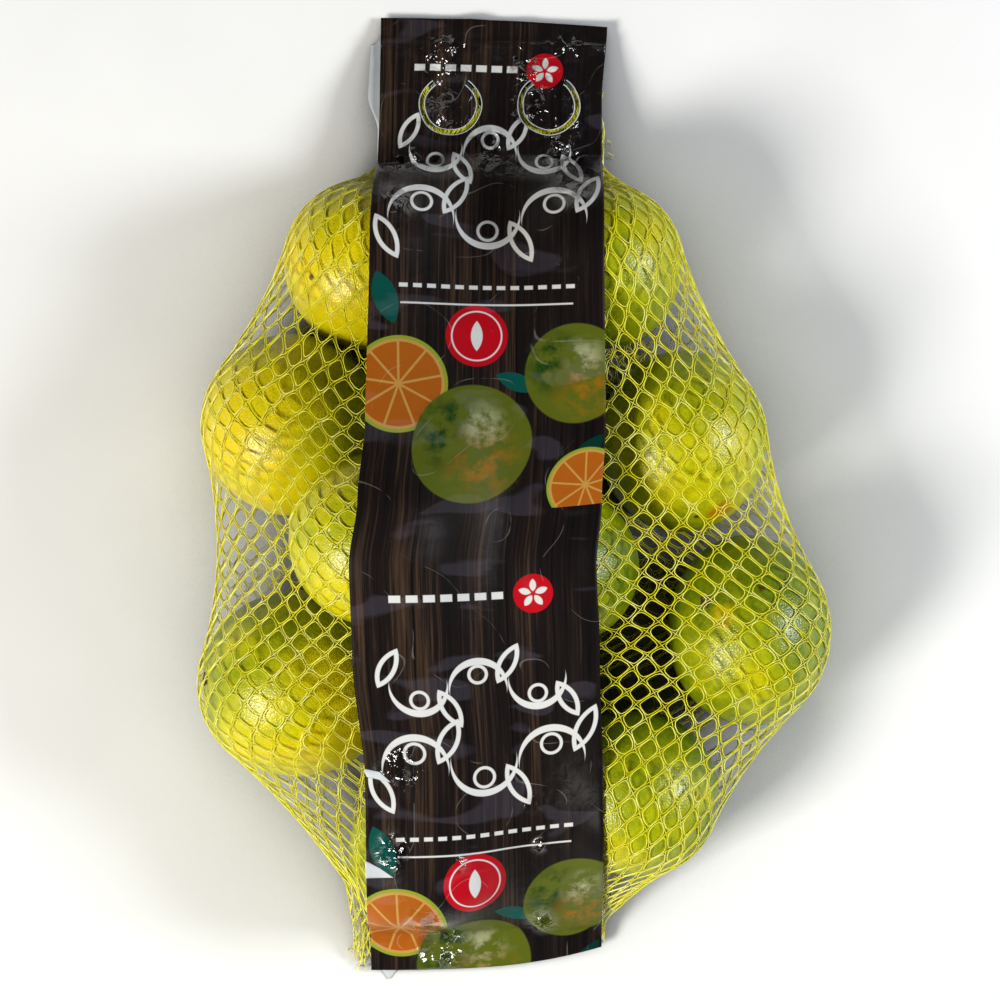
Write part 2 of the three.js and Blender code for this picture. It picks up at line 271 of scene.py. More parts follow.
ORANGES = (
    Orange("upper_left", (-52.4, 94.0, 36.0), (34.0, 34.0, 34.0), (-0.5, -0.6, 0.6), 0.74, 0.16,
           scars=(Scar((-0.64, -0.2, 0.74), 1.3),)),
    Orange("upper_right", (41.0, 93.4, 34.0), (32.2, 33.2, 32.2), (0.7, 0.3, 0.5), 0.31, 0.3),
    Orange("left", (-83.3, 30.0, 37.2), (35.6, 36.6, 35.6), (-0.8, -0.4, 0.45), 0.62, 0.3,
           scars=(Scar((0.28, -0.78, 0.55), 1.9, "#7a4a10"),)),
    Orange("right", (72.8, 23.4, 36.5), (33.6, 36.4, 34.7), (0.2, -0.4, 0.8), 0.43, 0.2,
           scars=(Scar((0.13, -0.84, 0.52), 1.2, "#2a1c08"),
                  Scar((0.4, -0.79, 0.46), 6.0, "#b87c0c"))),
    Orange("middle_high", (-4.0, 39.6, 33.8), (32.0, 32.8, 32.0), (0.0, 0.0, 1.0), 0.5),
    Orange("middle", (21.2, -26.2, 51.5), (34.0, 32.4, 32.8), (-0.7, 0.2, 0.7), 0.36, 0.14),
    Orange("top", (-46.8, -15.4, 77.6), (35.2, 33.8, 34.2), (-0.6, -0.5, 0.6), 0.6, 0.1,
           scars=(Scar((-0.52, 0.12, 0.84), 0.7, "#d8d8a0"),
                  Scar((-0.66, -0.03, 0.75), 0.7, "#d8d8a0"))),
    Orange("lower_right", (99.1, -52.0, 36.7), (32.4, 38.4, 34.9), (-0.3, -0.8, 0.4), 0.33, 0.14,
           stem=(-0.57, 0.38, 0.74),
           scars=(Scar((0.08, 0.49, 0.86), 1.3, "#5a3410"),
                  Scar((-0.36, 0.2, 0.9), 5.0, "#c8b008"))),
    Orange("lower_left", (-80.5, -73.0, 39.7), (39.6, 37.2, 38.0), (0.45, -0.7, 0.5), 0.53, 0.3,
           stem=(-0.95, 0.06, 0.3)),
    Orange("lower_middle", (-3.0, -84.4, 34.0), (32.6, 31.6, 32.0), (0.0, 0.0, 1.0), 0.4),
    Orange("foot_right", (53.8, -117.2, 35.3), (33.8, 33.4, 33.5), (0.0, -0.25, 1.0), 0.1, 0.5,
           scars=(Scar((0.68, 0.07, 0.73), 1.4),)),
    Orange("foot_left", (-29.9, -141.0, 32.2), (31.0, 30.6, 30.6), (-0.8, 0.0, 0.5), 0.38, 0.1),
)


@dataclass(frozen=True)
class FlatEnd:
    """One flat end of the bag, between its two bands.

    Attributes:
        shoulder: the y where the tube closes.
        tip: the y of the bands' end.
        lift: its height at the shoulder.
        at_tip: its height at the tip.
    """

    shoulder: float
    tip: float
    lift: float
    at_tip: float = 1.35

    def height(self, y: np.ndarray) -> np.ndarray:
        """The height of its middle at y."""
        share = np.clip((y - self.shoulder) / (self.tip - self.shoulder), 0, 1)
        return self.lift + (self.at_tip - self.lift) * share


HEADER = FlatEnd(shoulder=136, tip=198, lift=20)
FOOT = FlatEnd(shoulder=-174, tip=-193, lift=8)


def end_height(y: np.ndarray) -> np.ndarray:
    """The height of whichever flat end y is nearer to."""
    return np.where(np.asarray(y) > 0, HEADER.height(y), FOOT.height(y))


# ---- Finishes ----


class Graph:
    """The nodes of one material."""

    def __init__(self, name: str) -> None:
        """Makes an empty material with an output.

        Args:
            name: what the material is.
        """
        self.material = bpy.data.materials.new(name)
        self.material.use_nodes = True
        self.tree = self.material.node_tree
        self.tree.nodes.clear()
        self.output = self.tree.nodes.new("ShaderNodeOutputMaterial")

    def add(self, kind: str, sockets: tuple | list | dict = (), out: int | str = 0,
            stops: tuple = (), **settings) -> Socket:
        """Adds a node.

        Args:
            kind: its type, without the leading ShaderNode.
            sockets: its inputs, in order or by name or number, each a value or the output that
                feeds it. A Map Range takes its value, where that starts and ends, and what to.
            out: the output that is wanted.
            stops: of a colour ramp, each a position and an sRGB colour.
            settings: its own properties.

        Returns:
            The output.
        """
        node = self.tree.nodes.new("ShaderNode" + kind)
        for name, value in settings.items():
            setattr(node, name, value)
        named = sockets if isinstance(sockets, dict) else dict(enumerate(sockets))
        for key, value in named.items():
            if isinstance(value, Socket):
                self.tree.links.new(value, node.inputs[key])
            else:
                node.inputs[key].default_value = value
        if stops:
            elements = node.color_ramp.elements
            while len(elements) < len(stops):
                elements.new(0.5)
            for element, (position, colour) in zip(elements, stops):
                element.position, element.color = position, linear(colour)
        return node.outputs[out]

    def finish(self, sockets: dict) -> Material:
        """Gives the material its shader, and returns it."""
        self.tree.links.new(self.add("BsdfPrincipled", sockets), self.output.inputs["Surface"])
        return self.material


@dataclass(frozen=True)
class PeelFinish:
    """Waxed citrus peel: a soft gloss that the oil glands' pits break into small sparkles.

    Attributes:
        stops: colours from the greenest peel to the ripest.
        pit_shade: the colour of the painted shade down in the pits.
        pore: the distance between two pits, in millimetres.
        cloud: the size of the green and yellow clouds.
        fleck: the size of the small flecks in them.
        lump: the size of the soft lumps under the pits.
        roughness: of the wax.
    """

    stops: tuple = ((0.0, "#3f5404"), (0.3, "#6f8208"), (0.52, "#a8ae08"), (0.74, "#d6ca08"),
                    (1.0, "#e4ca08"))
    pit_shade: str = "#4c5804"
    pore: float = 0.95
    cloud: float = 26.0
    fleck: float = 2.6
    lump: float = 4.5
    roughness: float = 0.29

    def material(self, orange: Orange) -> Material:
        """Makes the peel of one orange.

        Args:
            orange: the orange, for its place and its marks.

        Returns:
            The material.
        """
        graph = Graph(f"waxed citrus peel, {orange.name}")
        place = graph.add("TexCoord", out="Object")
        local = graph.add("VectorMath", (place, tuple(in_frame(orange.at))), operation="SUBTRACT")
        outward = graph.add("VectorMath", (local,), operation="NORMALIZE")
        side = graph.add("VectorMath", (outward, tuple(Vector(orange.ripe_and_lit_side).normalized())), "Value",
                         operation="DOT_PRODUCT")
        cloud = graph.add("TexNoise", {"Vector": place, "Scale": per_metre(self.cloud),
                                       "Detail": 3.0, "Roughness": 0.55})
        fleck = graph.add("TexNoise", {"Vector": place, "Scale": per_metre(self.fleck),
                                       "Detail": 2.0})
        # Partly ripeness, partly painted light and shade: yellower towards the orange's given side,
        # greener away from it.
        ripeness_and_light = graph.add("Math", (side, orange.spread, orange.yellow),
                             operation="MULTIPLY_ADD")
        for shift in ((cloud, 0.25, 0.75, -0.2, 0.2), (fleck, 0.3, 0.7, -0.05, 0.05)):
            ripeness_and_light = graph.add("Math", (ripeness_and_light, graph.add("MapRange", shift)))
        colour = graph.add("ValToRGB", (ripeness_and_light,), stops=self.stops)
        pits = graph.add("TexVoronoi", {"Vector": place, "Scale": per_metre(self.pore),
                                        "Randomness": 0.85}, "Distance")
        # Painted shade: the peel darkens towards the pit colour down in each pit.
        shade = graph.add("MapRange", (pits, 0.0, 0.45, 0.24, 0.0))
        colour = graph.add("Mix", {0: shade, 6: colour, 7: linear(self.pit_shade)}, 2,
                           data_type="RGBA")
        for scar in orange.scars:
            colour = self.marked(graph, colour, place, orange, scar)
        lumps = graph.add("TexNoise", {"Vector": place, "Scale": per_metre(self.lump),
                                       "Detail": 2.0})
        soft = graph.add("Bump", {"Height": lumps, "Strength": 0.5, "Distance": 0.16 * MM})
        bump = graph.add("Bump", {"Height": graph.add("MapRange", (pits, 0.05, 0.6)),
                                  "Normal": soft, "Strength": 0.6, "Distance": 0.18 * MM})
        return graph.finish({"Base Color": colour, "Roughness": self.roughness, "IOR": 1.46,
                             "Normal": bump})

    def marked(self, graph: Graph, colour: Socket, place: Socket, orange: Orange,
               scar: Scar) -> Socket:
        """Paints one mark over the peel.

        Args:
            graph: the peel's nodes.
            colour: the peel's colour so far.
            place: the object coordinates.
            orange: the marked orange.
            scar: the mark.

        Returns:
            The colour with the mark.
        """
        towards = np.array(Vector(scar.towards).normalized())
        reach = 1 / np.linalg.norm(towards / np.array(orange.half))
        spot = tuple(in_frame(np.array(orange.at) + towards * reach))
        away = graph.add("VectorMath", (place, spot), "Value", operation="DISTANCE")
        ragged = graph.add("TexNoise", {"Vector": place, "Scale": per_metre(1.8)})
        near, far = 1.2 * scar.radius * MM, 1.9 * scar.radius * MM
        edge = graph.add("Math", (ragged, near, away), operation="MULTIPLY_ADD")
        share = graph.add("MapRange", (edge, near, far, 0.9, 0.0))
        return graph.add("Mix", {0: share, 6: colour, 7: linear(scar.colour)}, 2,
                         data_type="RGBA")


@dataclass(frozen=True)
class PlainFinish:
    """A finish whose colour drifts in soft clouds over the piece.

    Attributes:
        name: what the material is.
        cloud: the size of its clouds, in millimetres.
        detail: of the clouds.
        stops: its colours.
        roughness: of its surface.
        relief: how deep the clouds are, in millimetres.
    """

    name: str
    cloud: float
    stops: tuple
    roughness: float
    detail: float = 2.0
    relief: float = 0.0

    def material(self) -> Material:
        """Makes the material.

        Returns:
            The material.
        """
        graph = Graph(self.name)
        cloud = graph.add("TexNoise", {"Vector": graph.add("TexCoord", out="Object"),
                                       "Scale": per_metre(self.cloud), "Detail": self.detail})
        sockets = {"Base Color": graph.add("ValToRGB", (cloud,), stops=self.stops),
                   "Roughness": self.roughness, "IOR": 1.5}
        if self.relief:
            sockets["Normal"] = graph.add("Bump", {"Height": cloud, "Strength": 0.6,
                                                   "Distance": self.relief * MM})
        return graph.finish(sockets)


# Dried stem button: dull brown wood fibre, paler where it was cut.
CALYX = PlainFinish("dried stem button", 1.4, ((0.3, "#2a1a10"), (0.55, "#5a4030"),
                                               (0.75, "#a08878")), 0.8, 3.0, relief=0.5)
# Knitted polyethylene yarn: vivid yellow, slightly glossy, paler where it was stretched.
YARN = PlainFinish("knitted polyethylene yarn", 6.0, ((0.3, "#ded40e"), (0.5, "#ece62a"),
                                                      (0.66, "#f6f27e")), 0.36)
# The film's unprinted side: white backing ink, satin, slightly grey where it is thin.
FILM_INSIDE = PlainFinish("white backing side of film", 18.0, ((0.3, "#bfc6cc"),
                                                               (0.7, "#d9dde0")), 0.35)


@dataclass(frozen=True)
class FloorFinish:
    """Matt white paper, with a trace of mottle, and painted shade: greyer where the bag is near it.

    Attributes:
        shade_reach: how near the bag has to be for the painted shade to darken the paper, in
            millimetres.
    """

    shade_reach: float = 80.0

    def material(self) -> Material:
        """Makes the material.

        Returns:
            The material.
        """
        graph = Graph("matt white paper")
        mottle = graph.add("TexNoise", {"Vector": graph.add("TexCoord", out="Object"),
                                        "Scale": per_metre(60.0)})
        colour = graph.add("ValToRGB", (mottle,), stops=((0.2, "#f2f2f2"), (0.8, "#f8f8f8")))
        # Painted shade: ambient occlusion mixes the paper towards dark grey where the bag is near.
        open_sky = graph.add("AmbientOcclusion", {"Distance": self.shade_reach * MM}, "AO", samples=6)
        share = graph.add("MapRange", (open_sky, 0.25, 0.85, 0.06))
        shaded = graph.add("Mix", {0: share, 6: linear("#303036"), 7: colour}, 2,
                           data_type="RGBA")
        return graph.finish({"Base Color": shaded, "Roughness": 0.9})


class Shade(Enum):
    """The colours of the print."""

    NIGHT = "#0d0b0c"
    PLANK = "#1d1716"
    STREAK = "#4a382a"
    GAP = "#0c0a09"
    WHITE = "#d8d8d6"
    RED = "#b80d1c"
    TEAL = "#0a4c44"
    TEAL_DARK = "#06302a"
    PULP = "#a85a16"
    PITH = "#c09048"
    RIND = "#8a9a2c"
    FRUIT = "#565f18"
    FRUIT_DARK = "#193a14"
    FRUIT_LIGHT = "#a3a47c"
    FRUIT_RIPE = "#8c6414"


class Print:
    """The band's print, painted field over field in millimetres of film.

    u runs across the film from its middle line, and v down it from the start of a repeat.
    """

    plank = 17.5  # the width of a plank
    blur = 0.15  # half the width of a field's soft edge

    def __init__(self, graph: Graph, repeat: float, start: float, unit: float) -> None:
        """Reads the piece's own UV map and finds the place in the repeat.

        Args:
            graph: the material's nodes.
            repeat: the length of a repeat.
            start: how far into a repeat the film begins.
            unit: millimetres in one UV unit.
        """
        self.add = add = graph.add
        self.whole = add("VectorMath", (add("UVMap"), (unit, unit, 0.0)), operation="MULTIPLY")
        self.u = add("SeparateXYZ", (self.whole,), "X")
        shifted = add("Math", (add("SeparateXYZ", (self.whole,), "Y"), start))
        self.place = add("CombineXYZ", (self.u, add("Math", (shifted, repeat),
                                                    operation="MODULO")))
        mottle = add("TexNoise", {"Vector": self.whole, "Scale": 0.13, "Detail": 5.0,
                                  "Roughness": 0.65})
        self.mottle = add("MapRange", (mottle, 0.44, 0.6))
        self.colour = self.planks()

    def stretched(self, across: float, down: float) -> Socket:
        """The place on the film, in units of so many millimetres across and down."""
        return self.add("VectorMath", (self.whole, (1 / across, 1 / down, 0.0)),
                        operation="MULTIPLY")

    def planks(self) -> Socket:
        """Makes the ground: dark upright planks with fine fibres and brown streaks.

        Returns:
            Its colour.
        """
        add = self.add
        count = add("Math", (self.u, 1 / self.plank, 10.35), operation="MULTIPLY_ADD")
        tone = add("TexWhiteNoise", {"W": add("Math", (count,), operation="FLOOR")},
                   noise_dimensions="1D")
        grain = add("TexNoise", {"Vector": self.stretched(1.3, 70), "Scale": 1.0, "Detail": 6.0,
                                 "Roughness": 0.7, "Distortion": 0.25})
        streak = add("TexNoise", {"Vector": self.stretched(9, 160), "Scale": 1.0, "Detail": 2.0})
        level = -0.32
        for layer, weight in ((streak, 0.6), (tone, 0.2), (grain, 0.95)):
            level = add("Math", (layer, weight, level), operation="MULTIPLY_ADD")
        colour = add("ValToRGB", (level,), stops=((0.3, Shade.NIGHT.value),
                                                  (0.58, Shade.PLANK.value),
                                                  (0.8, Shade.STREAK.value)))
        gap = add("MapRange", (add("Math", (count,), operation="FRACT"), 0.02, 0.05, 0.8, 0.0))
        return add("Mix", {0: gap, 6: colour, 7: linear(Shade.GAP.value)}, 2, data_type="RGBA")

    def away(self, centre: Pair) -> Socket:
        """The distance from a point of the repeat."""
        return self.add("VectorMath", (self.place, (*centre, 0.0)), "Value", operation="DISTANCE")

    def off(self, centre: Pair) -> Socket:
        """The place in the repeat, counted from a point."""
        return self.add("VectorMath", (self.place, (*centre, 0.0)), operation="SUBTRACT")

    def beside(self, distance: Socket, line: float = 0.0) -> Socket:
        """How far a distance is from a line's, to either side."""
        return self.add("Math", (self.add("Math", (distance, line), operation="SUBTRACT"),),
                        operation="ABSOLUTE")

    def within(self, distance: Socket, reach: float, soft: float = blur) -> Socket:
        """1 where a distance is less than reach, with a soft edge."""
        return self.add("MapRange", (distance, reach - soft, reach + soft, 1.0, 0.0))

    def paint(self, mask: Socket, shade: Shade) -> None:
        """Covers the mask, which is 1 inside it, with a colour."""
        self.colour = self.add("Mix", {0: mask, 6: self.colour, 7: linear(shade.value)}, 2,
                               data_type="RGBA")

    def disc(self, centre: Pair, radius: float, shade: Shade, soft: float = blur) -> None:
        """Paints a filled circle."""
        self.paint(self.within(self.away(centre), radius, soft), shade)

    def ring(self, centre: Pair, radius: float, width: float, shade: Shade) -> None:
        """Paints a circle's line."""
        self.paint(self.within(self.beside(self.away(centre), radius), width / 2), shade)

    def lens(self, middle: Pair, length: float, width: float, turn: float) -> Socket:
        """How far a point is outside a leaf shape, which two arcs bound.

        Args:
            middle: the leaf's middle.
            length: from tip to tip.
            width: across its middle.
            turn: its angle from the u axis, in degrees.

        Returns:
            The distance from its edge, below 0 inside.
        """
        radius = (length ** 2 + width ** 2) / (4 * width)
        offset = radius - width / 2
        across = (-math.sin(math.radians(turn)) * offset, math.cos(math.radians(turn)) * offset)
        far = [self.away((middle[0] + k * across[0], middle[1] + k * across[1])) for k in (-1, 1)]
        return self.add("Math", (self.add("Math", far, operation="MAXIMUM"), radius),
                        operation="SUBTRACT")

    def leaf(self, middle: Pair, length: float, width: float, turn: float, shade: Shade) -> None:
        """Paints a filled leaf."""
        self.paint(self.within(self.lens(middle, length, width, turn), 0.0), shade)

    def leaf_line(self, middle: Pair, length: float, width: float, turn: float,
                  stroke: float) -> None:
        """Paints a leaf's outline in white."""
        edge = self.beside(self.lens(middle, length, width, turn))
        self.paint(self.within(edge, stroke / 2), Shade.WHITE)

    def stroke(self, centre: Pair, radius: float, width: float, turn: float) -> None:
        """Paints a white crescent: a brushed arc that is widest in its middle.

        Args:
            centre: of its outer edge's circle.
            radius: of that circle.
            width: at the arc's middle.
            turn: the angle of the arc's middle, in degrees.
        """
        lean = math.radians(turn)
        inner = (centre[0] - width * math.cos(lean), centre[1] - width * math.sin(lean))
        outside = self.add("Math", (radius, self.away(inner)), operation="SUBTRACT")
        inside = self.add("Math", (self.away(centre), radius), operation="SUBTRACT")
        edge = self.add("Math", (inside, outside), operation="MAXIMUM")
        self.paint(self.within(edge, self.blur), Shade.WHITE)

    def bar(self, middle: Pair, half: Pair, shade: Shade) -> None:
        """Paints an upright rectangle.

        Args:
            middle: the rectangle's middle.
            half: half its width and height.
            shade: its colour.
        """
        size = self.add("VectorMath", (self.off(middle),), operation="ABSOLUTE")
        over = self.add("VectorMath", (size, (*half, 0.0)), operation="SUBTRACT")
        sides = [self.add("SeparateXYZ", (over,), axis) for axis in "XY"]
        self.paint(self.within(self.add("Math", sides, operation="MAXIMUM"), 0.0), shade)

    def mottled(self, centre: Pair, radius: float, soft: float, shade: Shade) -> None:
        """Paints a circle in uneven clouds."""
        inside = self.within(self.away(centre), radius, soft)
        self.paint(self.add("Math", (inside, self.mottle), operation="MULTIPLY"), shade)

    def fruit(self, centre: Pair, radius: float) -> None:
        """Paints a whole orange: olive, clouded with green at one side and lit at the other.

        Args:
            centre: of the orange.
            radius: of the orange.
        """
        self.disc(centre, radius, Shade.FRUIT, 0.3)
        for shade, across, down, size, soft in ((Shade.FRUIT_DARK, -0.35, -0.2, 0.55, 0.2),
                                                (Shade.FRUIT_RIPE, 0.2, 0.3, 0.5, 0.25),
                                                (Shade.FRUIT_LIGHT, 0.15, -0.3, 0.3, 0.2)):
            self.mottled((centre[0] + across * radius, centre[1] + down * radius), size * radius,
                         soft * radius, shade)

    def slice(self, centre: Pair, radius: float, segments: int = 9) -> None:
        """Paints a cut orange: rind, pith and pulp, with pale spokes between its segments.

        Args:
            centre: of the orange.
            radius: of the orange.
            segments: how many it has.
        """
        add = self.add
        self.disc(centre, radius, Shade.RIND)
        self.disc(centre, 0.93 * radius, Shade.PITH)
        off = self.off(centre)
        angle = add("Math", [add("SeparateXYZ", (off,), axis) for axis in "YX"],
                    operation="ARCTAN2")
        turn = add("Math", (angle, segments / (2 * math.pi), 50.3), operation="MULTIPLY_ADD")
        side = self.beside(add("Math", (turn,), operation="FRACT"), 0.5)
        room = add("Math", (side, -2.0, 1.0), operation="MULTIPLY_ADD")
        wide = add("Math", (room, self.away(centre)), operation="MULTIPLY")
        spoke = self.within(wide, 0.07 * radius, 0.02 * radius)
        inner = add("Math", (1.0, spoke), operation="SUBTRACT")
        pulp = self.within(self.away(centre), 0.87 * radius)
        self.paint(add("Math", (pulp, inner), operation="MULTIPLY"), Shade.PULP)


@dataclass(frozen=True)
class PrintedFilmFinish:
    """Gravure-printed polypropylene film: a dark wood print under a clear, glossy, creased face.

    Attributes:
        repeat: the length of the print's repeat, in millimetres.
        start: how far into a repeat the film begins.
        unit: millimetres in one UV unit.
        roughness: of the film's face where it is smooth, and where it is crumpled.
        shine: its specular level there.
    """

    repeat: float = 216.0
    start: float = 12.0
    unit: float = 100.0
    roughness: Pair = (0.42, 0.1)
    shine: Pair = (0.06, 0.9)

    def material(self) -> Material:
        """Makes the material.

        Returns:
            The material.
        """
        graph = Graph("gravure-printed polypropylene film")
        art = Print(graph, self.repeat, self.start, self.unit)
        self.ornament(art)
        self.sprig(art)
        self.harvest(art)
        crumple = graph.add("Attribute", (), "Fac", attribute_name="crumple")
        gloss, shine = (graph.add("MapRange", (crumple, 0.15, 0.5, *ends))
                        for ends in (self.roughness, self.shine))
        return graph.finish({"Base Color": self.sheen_and_scratches(art), "Roughness": gloss, "IOR": 1.5,
                             "Specular IOR Level": shine, "Normal": self.creased(art, crumple)})

    def creased(self, art: Print, crumple: Socket) -> Socket:
        """Ripples the face, and breaks it into flat facets where it is crumpled.

        Args:
            art: the print, for the place on the film.
            crumple: how crumpled the film is, from 0 to 1.

        Returns:
            The normal.
        """
        add = art.add
        crushed = add("TexNoise", {"Vector": art.whole, "Scale": 0.2, "Detail": 2.0,
                                   "Roughness": 0.5, "Distortion": 0.9})
        ripple = add("TexNoise", {"Vector": art.whole, "Scale": 0.07, "Detail": 2.0})
        height = add("Math", (crushed, crumple), operation="MULTIPLY")
        soft = add("Bump", {"Height": ripple, "Strength": 0.35, "Distance": 1.2 * MM})
        bump = add("Bump", {"Height": height, "Normal": soft, "Strength": 1.0,
                            "Distance": 2.4 * MM})
        facet = add("TexVoronoi", {"Vector": art.whole, "Scale": 0.24}, "Color")
        lean = add("VectorMath", (facet, (0.5, 0.5, 0.5)), operation="SUBTRACT")
        sharp = add("MapRange", (crumple, 0.22, 0.7, 0.0, 1.2))
        lean = add("VectorMath", {0: lean, "Scale": sharp}, operation="SCALE")
        return add("VectorMath", (add("VectorMath", (bump, lean)),), operation="NORMALIZE")

    def sheen_and_scratches(self, art: Print) -> Socket:
        """Paints a slate-grey sheen over the print in soft patches, a painted reflection, and
        hairline scratches.

        Args:
            art: the print.

        Returns:
            Its colour.
        """
        add = art.add
        sheen = add("TexNoise", {"Vector": art.stretched(38, 13), "Scale": 1.0, "Detail": 1.5,
                                 "Distortion": 0.5})
        drift = add("TexNoise", {"Vector": art.whole, "Scale": 1 / 30, "Detail": 0.0})
        line = add("MapRange", (art.beside(drift, 0.46), 0.001, 0.004, 0.5, 0.0))
        worn = add("TexNoise", {"Vector": art.whole, "Scale": 0.09, "Detail": 2.0})
        scratch = add("Math", (line, add("MapRange", (worn, 0.48, 0.58))), operation="MULTIPLY")
        colour = art.colour
        # The first mask is painted reflection, a slate-grey sheen in patches; the second is
        # hairline scratches, which are wear.
        for mask, tint in ((add("MapRange", (sheen, 0.59, 0.63, 0.0, 0.4)), "#3c3a45"),
                           (scratch, "#77736f")):
            colour = add("Mix", {0: mask, 6: colour, 7: linear(tint)}, 2, data_type="RGBA",
                         blend_type="SCREEN")
        return colour

    def ornament(self, art: Print) -> None:
        """A red seal with a white blossom, beside a row of short white bars.

        Args:
            art: the print that it goes on.
        """
        seal = (22.0, 33.0)
        art.disc(seal, 7.6, Shade.RED)
        for turn in range(-90, 270, 72):
            angle = math.radians(turn)
            middle = (seal[0] + 3.3 * math.cos(angle), seal[1] + 3.3 * math.sin(angle))
            art.leaf(middle, 4.8, 2.5, turn, Shade.WHITE)
        for k in range(7):
            art.bar((-30.0 + 6.4 * k, 33.0), (2.2, 1.4), Shade.WHITE)

    def sprig(self, art: Print) -> None:
        """Two white leafy tendrils in brushed arcs, with fine lines and a red tag below them.

        Args:
            art: the print that they go on.
        """
        for row, (down, size) in enumerate(((68.0, 11.0), (99.0, 13.0))):
            for k in (-1, 0, 1):
                way = 1 if (k + row) % 2 else -1
                art.stroke((2.05 * size * k, down), size, 2.4, 90 * way)
                art.ring((2.05 * size * k, down + 0.42 * size * way), 0.3 * size, 1.2, Shade.WHITE)
            for k in (-1.5, -0.5, 0.5, 1.5):
                side = 1 if (k - 0.5 + row) % 2 else -1
                art.leaf_line((2.05 * size * k, down + 0.75 * size * side), 1.35 * size,
                              0.5 * size, 62 * side, 1.7)
        for k in range(13):
            art.bar((-33.0 + 5.5 * k, 128.0), (1.7, 0.8), Shade.WHITE)
        art.bar((0.0, 135.0), (34.0, 0.35), Shade.WHITE)
        tag = (-4.0, 147.5)
        art.disc(tag, 12.2, Shade.RED)
        art.ring(tag, 9.8, 0.6, Shade.WHITE)
        art.leaf(tag, 12.0, 4.6, 90, Shade.WHITE)

    def harvest(self, art: Print) -> None:
        """Whole and cut oranges with leaves, in flat colours, above the end of the repeat.

        Args:
            art: the print that they go on.
        """
        art.leaf((-40.0, 133.0), 22.0, 9.5, 70, Shade.TEAL)
        art.leaf((39.0, 196.0), 20.0, 8.0, -50, Shade.TEAL_DARK)
        art.leaf((12.0, 166.0), 18.0, 7.0, 20, Shade.TEAL)
        art.slice((-34.0, 167.0), 19.0)
        art.fruit((35.0, 163.0), 20.0)
        art.fruit((-5.0, 190.0), 23.0)
        art.slice((40.0, 208.0), 15.0)


# ---- Oranges ----


@dataclass
class FruitHeap:
    """The oranges in the net, each a piece of its own, with a button on each stem that shows.

    Attributes:
        subdivisions: of each orange's ball.
        lump: how deep its broad dents are, in millimetres.
        dimple: the depth and radius of the hollow round its stem.
        furrows: how many creases run into that hollow, and how deep they are.
        button: the radius of the stem button.
    """

    subdivisions: int = 6
    lump: float = 0.5
    dimple: Pair = (1.6, 0.42)
    furrows: tuple[int, float] = (7, 0.35)
    button: float = 3.6

    def build(self) -> None:
        """Makes every orange, and the stem buttons that show."""
        peel, dried = PeelFinish(), CALYX.material()
        for number, orange in enumerate(ORANGES):
            piece = self.ball(orange, number, peel.material(orange))
            keep(piece, Slot.PEEL, "filled_net")
            if orange.stem:
                keep(self.calyx(orange, dried), Slot.PEEL)

    def dent(self, outward: Vector, orange: Orange, number: int) -> float:
        """How far the peel lies inside the orange's plain form.

        Args:
            outward: the direction from the centre.
            orange: the orange.
            number: its place in the list, which sets its own lumps.

        Returns:
            The depth in millimetres.
        """
        own = outward * 1.3 + Vector((7.0 * number, 3.0, 0.0))
        broad = 0.5 - 0.5 * noise.noise(own)
        if not orange.stem:
            return self.lump * broad
        stem = Vector(orange.stem).normalized()
        angle = outward.angle(stem)
        depth, radius = self.dimple
        hollow = depth * math.exp(-(angle / radius) ** 2)
        if angle < 3 * radius:
            side = stem.orthogonal().normalized()
            turn = math.atan2(outward.dot(stem.cross(side)), outward.dot(side))
            crease = self.furrows[1] * (0.5 + 0.5 * math.cos(self.furrows[0] * turn))
            hollow += crease * math.exp(-((angle - radius) / (0.8 * radius)) ** 2)
        return self.lump * broad + hollow

    def ball(self, orange: Orange, number: int, peel: Material) -> Piece:
        """Makes one orange.

        Args:
            orange: its place and size.
            number: its place in the list.
            peel: its material.

        Returns:
            The piece.
        """
        shape = bmesh.new()
        bmesh.ops.create_icosphere(shape, subdivisions=self.subdivisions, radius=1.0)
        centre = Vector(orange.at)
        for vert in shape.verts:
            outward = vert.co.normalized()
            full = Vector(a * b for a, b in zip(outward, orange.half))
            vert.co = centre + full - outward * self.dent(outward, orange, number)
        return from_bmesh(f"orange_{orange.name}", shape, [peel])

    def calyx(self, orange: Orange, dried: Material) -> Piece:
        """Makes the star-shaped button where the stem was cut.

        Args:
            orange: its orange.
            dried: its material.

        Returns:
            The piece.
        """
        shape = bmesh.new()
        points, waist, thickness, narrower = 10, 0.62, 1.1, 0.7
        rim, hollow, softened = 0.6, -0.35, 0.18
        bmesh.ops.create_circle(shape, cap_ends=True, segments=points, radius=self.button)
        for k, vert in enumerate(shape.verts):
            vert.co *= 1.0 if k % 2 else waist
        lift = bmesh.ops.extrude_face_region(shape, geom=shape.faces[:])
        raised = [item for item in lift["geom"] if isinstance(item, bmesh.types.BMVert)]
        bmesh.ops.translate(shape, verts=raised, vec=(0, 0, thickness))
        bmesh.ops.scale(shape, verts=raised, vec=(narrower, narrower, 1.0))
        top = [face for face in shape.faces if face.calc_center_median().z > 0.9 * thickness]
        bmesh.ops.inset_region(shape, faces=top, thickness=rim, depth=hollow)
        bmesh.ops.bevel(shape, geom=shape.edges[:], offset=softened, offset_type="OFFSET",
                        segments=2, profile=0.5, affect="EDGES", material=-1)
        bmesh.ops.recalc_face_normals(shape, faces=shape.faces[:])
        stem = Vector(orange.stem).normalized()
        reach = 1 / (Vector(a / b for a, b in zip(stem, orange.half))).length
        seat = Vector(orange.at) + stem * (reach - self.dimple[0] - 0.5)
        turn = stem.to_track_quat("Z", "Y").to_matrix().to_4x4()
        bmesh.ops.transform(shape, matrix=Matrix.Translation(seat) @ turn, verts=shape.verts)
        return from_bmesh(f"stem_button_{orange.name}", shape, [dried])


# ---- The net ----


